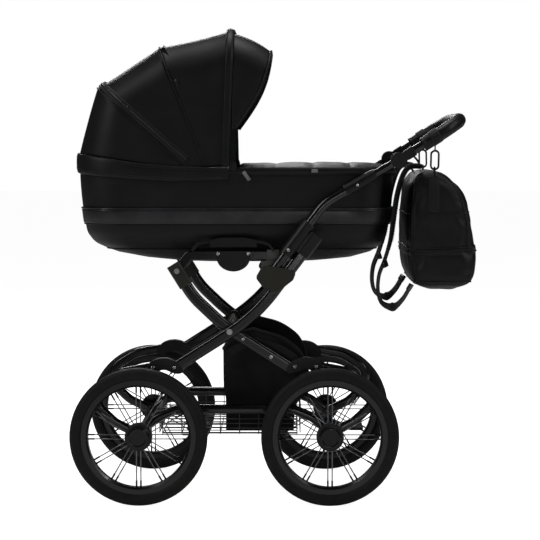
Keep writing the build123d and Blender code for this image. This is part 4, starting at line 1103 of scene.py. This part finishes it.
def make_stage():
    mat, tree, bsdf, _ = shader("Lit studio floor", Roughness=1.0, Emission_Color=(1, 1, 1, 1))
    seen = add(tree, "ShaderNodeLightPath").outputs["Is Camera Ray"]
    glow = add(tree, "ShaderNodeMapRange", {"Value": seen, "To Min": 0.04, "To Max": 0.95}).outputs["Result"]
    tree.links.new(glow, bsdf.inputs["Emission Strength"])
    floor = sheet_mesh("studio_floor", [[Vector((x, y, 0)) for x in (-6, 6)] for y in (-6, 30)], mat)
    world = bpy.data.worlds.new("soft box")
    bpy.context.scene.world = world
    world.use_nodes = True
    tree = world.node_tree
    background = tree.nodes["Background"]
    background.inputs["Color"].default_value = (1, 1, 1, 1)
    seen = add(tree, "ShaderNodeLightPath").outputs["Is Camera Ray"]
    level = add(tree, "ShaderNodeMapRange", {"Value": seen, "To Min": 0.035, "To Max": 1.0}).outputs["Result"]
    tree.links.new(level, background.inputs["Strength"])
    area_light("overhead", (0, 0.2, 3.6), (0, 0, 0.6), 1.4, 34)
    area_light("long strip left", (-2.6, -1.6, 2.6), (0, 0, 0.75), 0.25, 26, 2.4)
    area_light("long strip right", (2.7, -1.4, 2.4), (0, 0, 0.6), 0.25, 20, 2.4)
    area_light("low front", (0.4, -4.6, 0.5), (0, 0, 0.35), 0.5, 4)
    area_light("rim", (-0.6, 2.6, 2.2), (0, 0, 0.8), 1.6, 30, 0.5)
    scene = bpy.context.scene
    scene.view_settings.view_transform = "Standard"
    camera = bpy.data.cameras.new("camera")
    camera.lens, camera.sensor_width, camera.clip_end = 127.65, 36, 60
    obj = bpy.data.objects.new("camera", camera)
    obj.location = (0.1271 - CENTRE_X / 1000, -5.0924, 0.9256)
    obj.rotation_euler = (math.radians(90 - 3.8735), 0, math.radians(0.434))
    scene.collection.objects.link(obj)
    scene.camera = obj


# ------------------------------------------------------------------ the add-on
class PramColours(bpy.types.PropertyGroup):
    leather_dark: bpy.props.StringProperty(
        name="Leatherette, dark", description="Darker colour of the main leatherette", default="#0b0b0c")
    leather_light: bpy.props.StringProperty(
        name="Leatherette, light", description="Lighter colour of the main leatherette", default="#121213")


class PRAM_OT_stage(bpy.types.Operator):
    """Make the studio: floor, lights and camera"""
    bl_idname = "pram.stage"
    bl_label = "Studio"

    def execute(self, context):
        make_stage()
        return {"FINISHED"}


class PRAM_OT_finishes(bpy.types.Operator):
    """Give every part of the chassis its material"""
    bl_idname = "pram.finishes"
    bl_label = "Chassis finishes"

    def execute(self, context):
        make_materials(context.scene.pram_colours)
        for key, names in CAD_FINISH.items():
            for name in names:
                mesh = NODES[name].data
                mesh.materials.clear()
                mesh.materials.append(M[key])
        return {"FINISHED"}


def operator(key, label, text, *makers):
    """An operator class that makes one group of pieces."""
    def execute(self, context):
        for maker in makers:
            maker()
        return {"FINISHED"}
    return type(f"PRAM_OT_{key}", (bpy.types.Operator,),
                {"bl_idname": f"pram.{key}", "bl_label": label, "__doc__": text, "execute": execute})


PIECES = [
    operator("cot", "Carrycot", "Make the cot's cover, trim, mattress and foot cover", make_cot),
    operator("hood", "Hood", "Make the hood's panels, seams, zip and collar", make_hood),
    operator("handle", "Handle grip", "Make the stitched grip and the bag's loops", make_handle),
    operator("bag", "Bag", "Make the bag, its zips and straps", make_bag),
    operator("basket", "Cloth basket", "Make the cloth basket", make_basket),
    operator("fasteners", "Fasteners", "Make the screws", make_fasteners),
    operator("wheels", "Wheel details", "Make the valves, caps and nipples", make_wheel_details)]


class PRAM_PT_panel(bpy.types.Panel):
    """Lists the pram's pieces"""
    bl_idname = "PRAM_PT_panel"
    bl_label = "Pram"
    bl_space_type = "VIEW_3D"
    bl_region_type = "UI"
    bl_category = "Pram"

    def draw(self, context):
        for key in ("leather_dark", "leather_light"):
            self.layout.prop(context.scene.pram_colours, key)
        for cls in [PRAM_OT_finishes] + PIECES + [PRAM_OT_stage]:
            self.layout.operator(cls.bl_idname)


CLASSES = [PramColours, PRAM_OT_stage, PRAM_OT_finishes] + PIECES + [PRAM_PT_panel]


def register():
    for cls in CLASSES:
        bpy.utils.register_class(cls)
    bpy.types.Scene.pram_colours = bpy.props.PointerProperty(type=PramColours)


def unregister():
    del bpy.types.Scene.pram_colours
    for cls in reversed(CLASSES):
        bpy.utils.unregister_class(cls)


def main():
    register()
    bpy.ops.pram.finishes()
    for cls in PIECES:
        getattr(bpy.ops.pram, cls.bl_idname.split(".")[1])()
    bpy.ops.pram.stage()


if __name__ == "__main__":
    main()
